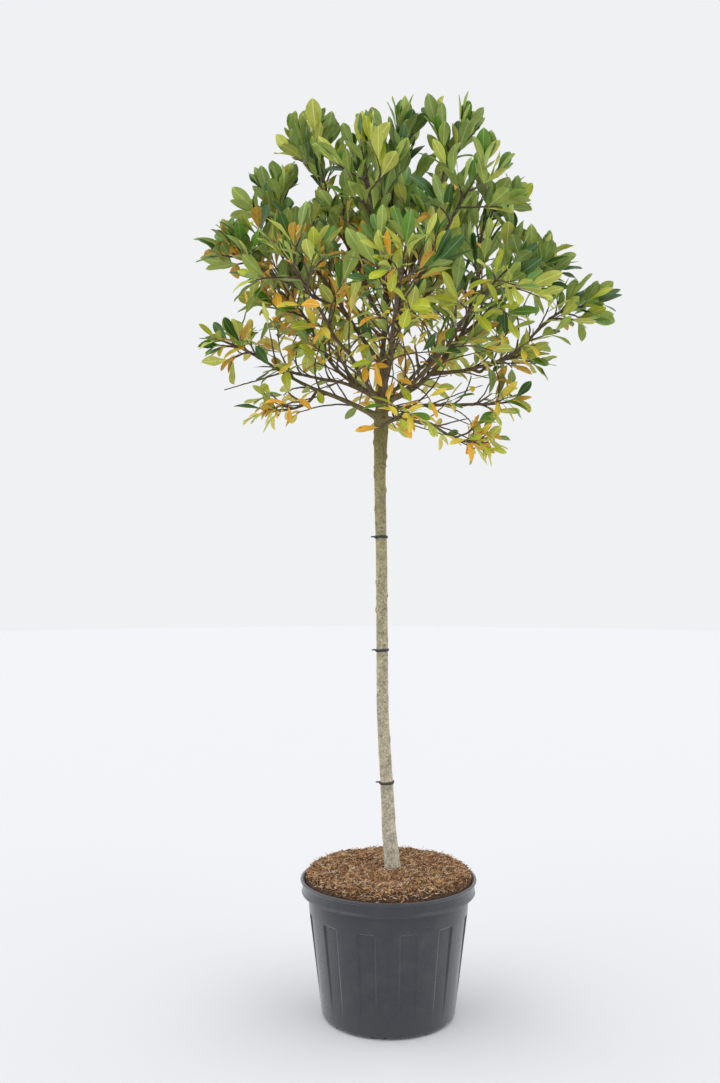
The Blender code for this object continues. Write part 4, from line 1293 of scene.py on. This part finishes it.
def make_crown(look):
    """The twigs, buds and leaves of every mass, each kind joined into one piece for each colour."""
    paths = limb_paths()
    crown = Crown(look)
    for number, limb in enumerate(LIMBS):
        crown.mass(number, limb, paths[limb.name])
        crown.spurs(limb, paths[limb.name])
    dress(crown.twigs.piece("magnolia_twigs", [magnolia_twig()]), FOLIAGE_NODES)
    dress(crown.buds.piece("magnolia_buds", [downy_bud()]), FOLIAGE_NODES)
    for name, pile in crown.leaves.items():
        upper, under = TINTS[name]
        old = TINT_NAMES.index(name) / (len(TINT_NAMES) - 1)
        sides = ("upper", upper, 0.46), ("under", under, 0.70)
        finishes = [leaf_skin(f"{name}_leaf_{side}", code, roughness, old) for side, code, roughness in sides]
        dress(pile.piece(f"magnolia_leaves_{name}", finishes, mapped=True), FOLIAGE_NODES)


def leaf_skin(name, code, roughness, old):
    """A magnolia leaf's skin: leathery, satin above and matt below, with a paler midrib and side veins."""
    material, tree, shader = start_material(name, roughness, 1.40)
    outline = add(tree, "TexCoord", out="UV")
    across, along = [add(tree, "SeparateXYZ", {"Vector": outline}, out=axis) for axis in "XY"]
    place = add(tree, "TexCoord", out="Object")
    off = add(tree, "Math", {0: across, 1: 0.5}, operation="SUBTRACT")
    off = add(tree, "Math", {0: off}, operation="ABSOLUTE")
    # The midrib is about 1.5 mm wide in a leaf 40 mm wide, drawn 2 mm wide so that it shows
    narrow = {"From Min": 0.018, "From Max": 0.045, "To Min": 1.0, "To Max": 0.0}
    midrib = add(tree, "MapRange", {"Value": off, **narrow})
    # Side veins leave the midrib every 9 mm of a 100 mm leaf and slant forwards
    slant = add(tree, "Math", {0: off, 1: -0.42, 2: along}, operation="MULTIPLY_ADD")
    vein = add(tree, "Math", {0: slant, 1: math.tau * 11}, operation="MULTIPLY")
    vein = add(tree, "Math", {0: vein}, operation="SINE")
    crests = {"From Min": 0.75, "From Max": 1.0, "To Min": 0.0, "To Max": 0.16}
    vein = add(tree, "MapRange", {"Value": vein, **crests})
    ribs = add(tree, "Math", {0: midrib, 1: vein}, operation="MAXIMUM")
    # Colour drifts from leaf to leaf over about 40 mm, with a mottle down to 2 mm
    drift = add(tree, "TexNoise", {"Vector": place, "Scale": 1 / 0.040, "Detail": 6.0, "Roughness": 0.68})
    tones = ((0.34, shade(code, 0.80)), (0.50, linear_rgb(code)), (0.66, shade(code, 1.22)))
    blade = add(tree, "ValToRGB", {"Fac": drift}, stops=tones)
    # Blemishes are 3 to 8 mm across, and there are more of them on old leaves
    blemish = add(tree, "TexNoise", {"Vector": place, "Scale": 1 / 0.010, "Detail": 3.0, "Roughness": 0.6})
    worn = add(tree, "Math", {0: off, 1: 0.16, 2: blemish}, operation="MULTIPLY_ADD")
    spots = {"From Min": 0.78 - 0.12 * old, "From Max": 0.84 - 0.09 * old, "To Min": 0.0, "To Max": 0.85}
    spotted = add(tree, "MapRange", {"Value": worn, **spots})
    brown = {"Factor": spotted, "A": blade, "B": linear_rgb("6E4A2A")}
    marked = add(tree, "Mix", brown, data_type="RGBA")
    ribbed = {"Factor": ribs, "A": marked, "B": shade(code, 1.25, 0.10)}
    base = add(tree, "Mix", ribbed, data_type="RGBA")
    quilt = add(tree, "Bump", {"Height": ribs, "Strength": 0.25, "Distance": 0.0006})
    feed(tree, shader, {"Base Color": base, "Normal": quilt})
    return material


def magnolia_twig():
    """One and two year old magnolia twigs: smooth thin bark, purple-brown."""
    material, tree, shader = start_material("magnolia_twig", 0.62, 1.45)
    place = add(tree, "TexCoord", out="Object")
    # The bark's colour changes every 15 mm or so, from one year's growth to the next
    growth = add(tree, "TexNoise", {"Vector": place, "Scale": 1 / 0.015, "Detail": 4.0})
    # The darkest tone is partly painted shade: the twigs are darkened for the shade inside the crown
    tones = ((0.35, linear_rgb("3F3228")), (0.55, linear_rgb("5C4A3A")), (0.75, linear_rgb("7E6D52")))
    feed(tree, shader, {"Base Color": add(tree, "ValToRGB", {"Fac": growth}, stops=tones)})
    return material


def downy_bud():
    """A resting magnolia bud, wrapped in silky grey-green down that scatters light at its edges."""
    material, tree, shader = start_material("downy_bud", 0.85, 1.45)
    place = add(tree, "TexCoord", out="Object")
    # Tufts of down are about 2 mm long
    down = add(tree, "TexNoise", {"Vector": place, "Scale": 1 / 0.002, "Detail": 3.0})
    tones = ((0.35, linear_rgb("6E6A48")), (0.65, linear_rgb("A39E7C")))
    tone = add(tree, "ValToRGB", {"Fac": down}, stops=tones)
    feed(tree, shader, {"Base Color": tone, "Sheen Weight": 0.4})
    return material


# The stage
def make_stage(look):
    """The pale floor, the soft lights, the pale surroundings and the camera."""
    pile = Pile()
    ring = [polar(math.tau * at / FLOOR_SIDES, 1.0) * look.floor_radius for at in range(FLOOR_SIDES)]
    pile.put(ring, [list(range(FLOOR_SIDES))])
    floor, tree, shader = start_material("painted_floor", 0.9, 1.5)
    feed(tree, shader, {"Specular IOR Level": 0.1, "Base Color": tuple(look.floor_colour)})
    pile.piece("floor", [floor], smooth=False)

    scene = bpy.context.scene
    scene.view_settings.view_transform = "Standard"
    scene.view_settings.look = "None"
    world = bpy.data.worlds.new("studio")
    world.use_nodes = True
    background = world.node_tree.nodes["Background"]
    background.inputs["Color"].default_value = tuple(look.air_colour)
    background.inputs["Strength"].default_value = look.air_strength
    scene.world = world

    for name, way, share, breadth in LAMPS:
        lamp = bpy.data.lights.new(name, "SUN")
        lamp.energy = look.key_strength * share
        lamp.angle = math.radians(breadth)
        light = bpy.data.objects.new(name, lamp)
        light.rotation_euler = Vector(way).to_track_quat("Z", "Y").to_euler()
        scene.collection.objects.link(light)

    eye = bpy.data.cameras.new("camera")
    eye.sensor_fit = "VERTICAL"
    eye.sensor_height = CAMERA_SENSOR
    eye.lens = CAMERA_LENS
    eye.clip_start = 0.05
    camera = bpy.data.objects.new("camera", eye)
    camera.location = CAMERA_PLACE
    camera.rotation_euler = (math.pi / 2, 0, 0)
    scene.collection.objects.link(camera)
    scene.camera = camera


# What every share and every colour that a user may change has in common
SHARE = {"subtype": "FACTOR", "min": 0.0, "max": 1.0}
COLOUR = {"subtype": "COLOR", "size": 4, "min": 0.0, "max": 1.0}


class PotLook(bpy.types.PropertyGroup):
    """What a user may change on the pot."""

    colour: bpy.props.FloatVectorProperty(
        name="Plastic",
        description="Colour of the moulded plastic",
        **COLOUR,
        default=linear_rgb("2D3037"),
    )
    dust: bpy.props.FloatProperty(
        name="Dust",
        description="How much the dust and scuffs show",
        **SHARE,
        default=0.22,
    )


class SoilLook(bpy.types.PropertyGroup):
    """What a user may change on the soil."""

    fibres: bpy.props.IntProperty(
        name="Fibres", description="How many loose fibres lie on the soil", min=0, default=9000
    )
    chips: bpy.props.IntProperty(
        name="Chips", description="How many chips of bark lie on the soil", min=0, default=2200
    )


class WoodLook(bpy.types.PropertyGroup):
    """What a user may change on the trunk and boughs."""

    relief: bpy.props.FloatProperty(
        name="Bark relief",
        description="How far the bark's plates stand out",
        unit="LENGTH",
        default=0.0011,
    )
    voxel: bpy.props.FloatProperty(
        name="Surface grid",
        description="Spacing of the grown surface of the trunk",
        unit="LENGTH",
        min=0.001,
        default=0.0019,
    )
    grown_length: bpy.props.FloatProperty(
        name="Grown length",
        description="How much of each bough is grown together with the trunk",
        unit="LENGTH",
        default=0.11,
    )


class TieLook(bpy.types.PropertyGroup):
    """What a user may change on the ties."""

    depth: bpy.props.FloatProperty(
        name="Depth", description="Height of a band", unit="LENGTH", default=0.0078
    )
    thickness: bpy.props.FloatProperty(
        name="Thickness", description="Thickness of a band", unit="LENGTH", default=0.0030
    )
    tail: bpy.props.FloatProperty(
        name="Tail", description="Length of the loose end", unit="LENGTH", default=0.011
    )


class CrownLook(bpy.types.PropertyGroup):
    """What a user may change on the crown."""

    leaf_length: bpy.props.FloatProperty(
        name="Leaf length", description="Length of a full leaf", unit="LENGTH", default=0.108
    )
    leaf_shape: bpy.props.FloatVectorProperty(
        name="Leaf breadth",
        description="Least and greatest breadth of a leaf, as a share of its length",
        size=2,
        default=(0.33, 0.45),
    )
    end_leaves: bpy.props.IntVectorProperty(
        name="End leaves", description="Fewest and most leaves on a twig", size=2, default=(6, 8)
    )
    side_leaves: bpy.props.IntVectorProperty(
        name="Side leaves", description="Fewest and most leaves on a finer shoot", size=2, default=(5, 7)
    )
    leaf_gap: bpy.props.FloatProperty(
        name="Leaf gap", description="Distance from leaf to leaf along a shoot", unit="LENGTH", default=0.019
    )
    side_shoots: bpy.props.FloatProperty(
        name="Side shoots",
        description="Share of the twigs that carry a finer shoot",
        **SHARE,
        default=0.9,
    )
    leafy_spurs: bpy.props.FloatProperty(
        name="Leafy spurs",
        description="Share of the inner twigs that grow into leafy shoots",
        **SHARE,
        default=0.82,
    )
    autumn: bpy.props.FloatProperty(
        name="Autumn",
        description="How many old leaves have turned yellow and amber",
        **SHARE,
        default=0.64,
    )


class StageLook(bpy.types.PropertyGroup):
    """What a user may change on the stage."""

    floor_radius: bpy.props.FloatProperty(
        name="Floor", description="Radius of the floor", unit="LENGTH", default=14.0
    )
    floor_colour: bpy.props.FloatVectorProperty(
        name="Floor colour",
        description="Colour of the floor's paint",
        **COLOUR,
        default=linear_rgb("D8D9DB"),
    )
    air_colour: bpy.props.FloatVectorProperty(
        name="Surroundings",
        description="Colour of the surroundings",
        **COLOUR,
        default=linear_rgb("F0F1F3"),
    )
    air_strength: bpy.props.FloatProperty(
        name="Brightness", description="Brightness of the surroundings", default=1.0
    )
    key_strength: bpy.props.FloatProperty(
        name="Key light", description="Strength of the main lamp", default=1.45
    )


class MAGNOLIA_OT_pot(bpy.types.Operator):
    """Makes the nursery pot"""

    bl_idname = "magnolia.pot"
    bl_label = "Pot"

    def execute(self, context):
        make_pot(context.scene.magnolia_pot)
        return {"FINISHED"}


class MAGNOLIA_OT_soil(bpy.types.Operator):
    """Makes the heap of soil with its fibres and chips"""

    bl_idname = "magnolia.soil"
    bl_label = "Soil"

    def execute(self, context):
        make_soil(context.scene.magnolia_soil)
        return {"FINISHED"}


class MAGNOLIA_OT_wood(bpy.types.Operator):
    """Makes the trunk and the boughs with their bark"""

    bl_idname = "magnolia.wood"
    bl_label = "Trunk and boughs"

    def execute(self, context):
        make_wood(context.scene.magnolia_wood)
        return {"FINISHED"}


class MAGNOLIA_OT_ties(bpy.types.Operator):
    """Makes the three ties round the trunk"""

    bl_idname = "magnolia.ties"
    bl_label = "Ties"

    def execute(self, context):
        make_ties(context.scene.magnolia_ties)
        return {"FINISHED"}


class MAGNOLIA_OT_crown(bpy.types.Operator):
    """Makes the twigs, buds and leaves"""

    bl_idname = "magnolia.crown"
    bl_label = "Twigs and leaves"

    def execute(self, context):
        make_crown(context.scene.magnolia_crown)
        return {"FINISHED"}


class MAGNOLIA_OT_stage(bpy.types.Operator):
    """Makes the floor, the lights and the camera"""

    bl_idname = "magnolia.stage"
    bl_label = "Stage"

    def execute(self, context):
        make_stage(context.scene.magnolia_stage)
        return {"FINISHED"}


LOOKS = {
    "magnolia_pot": PotLook,
    "magnolia_soil": SoilLook,
    "magnolia_wood": WoodLook,
    "magnolia_ties": TieLook,
    "magnolia_crown": CrownLook,
    "magnolia_stage": StageLook,
}
OPERATORS = (
    MAGNOLIA_OT_pot,
    MAGNOLIA_OT_soil,
    MAGNOLIA_OT_wood,
    MAGNOLIA_OT_ties,
    MAGNOLIA_OT_crown,
    MAGNOLIA_OT_stage,
)


class MAGNOLIA_PT_panel(bpy.types.Panel):
    """Lists each piece's settings over the button that makes it."""

    bl_idname = "MAGNOLIA_PT_panel"
    bl_label = "Potted magnolia"
    bl_space_type = "VIEW_3D"
    bl_region_type = "UI"
    bl_category = "Magnolia"

    def draw(self, context):
        for (holder, look), operator in zip(LOOKS.items(), OPERATORS):
            box = self.layout.box()
            for name in look.__annotations__:
                box.prop(getattr(context.scene, holder), name)
            box.operator(operator.bl_idname)


def register():
    """Registers every class and gives the scene its settings."""
    for each in (*LOOKS.values(), *OPERATORS, MAGNOLIA_PT_panel):
        bpy.utils.register_class(each)
    for holder, look in LOOKS.items():
        setattr(bpy.types.Scene, holder, bpy.props.PointerProperty(type=look))


def unregister():
    """Takes the settings and every class out again."""
    for holder in LOOKS:
        delattr(bpy.types.Scene, holder)
    for each in (MAGNOLIA_PT_panel, *OPERATORS[::-1], *list(LOOKS.values())[::-1]):
        bpy.utils.unregister_class(each)


def main():
    """Makes every piece in order."""
    register()
    bpy.ops.magnolia.stage()
    bpy.ops.magnolia.pot()
    bpy.ops.magnolia.soil()
    bpy.ops.magnolia.wood()
    bpy.ops.magnolia.ties()
    bpy.ops.magnolia.crown()


if __name__ == "__main__":
    main()
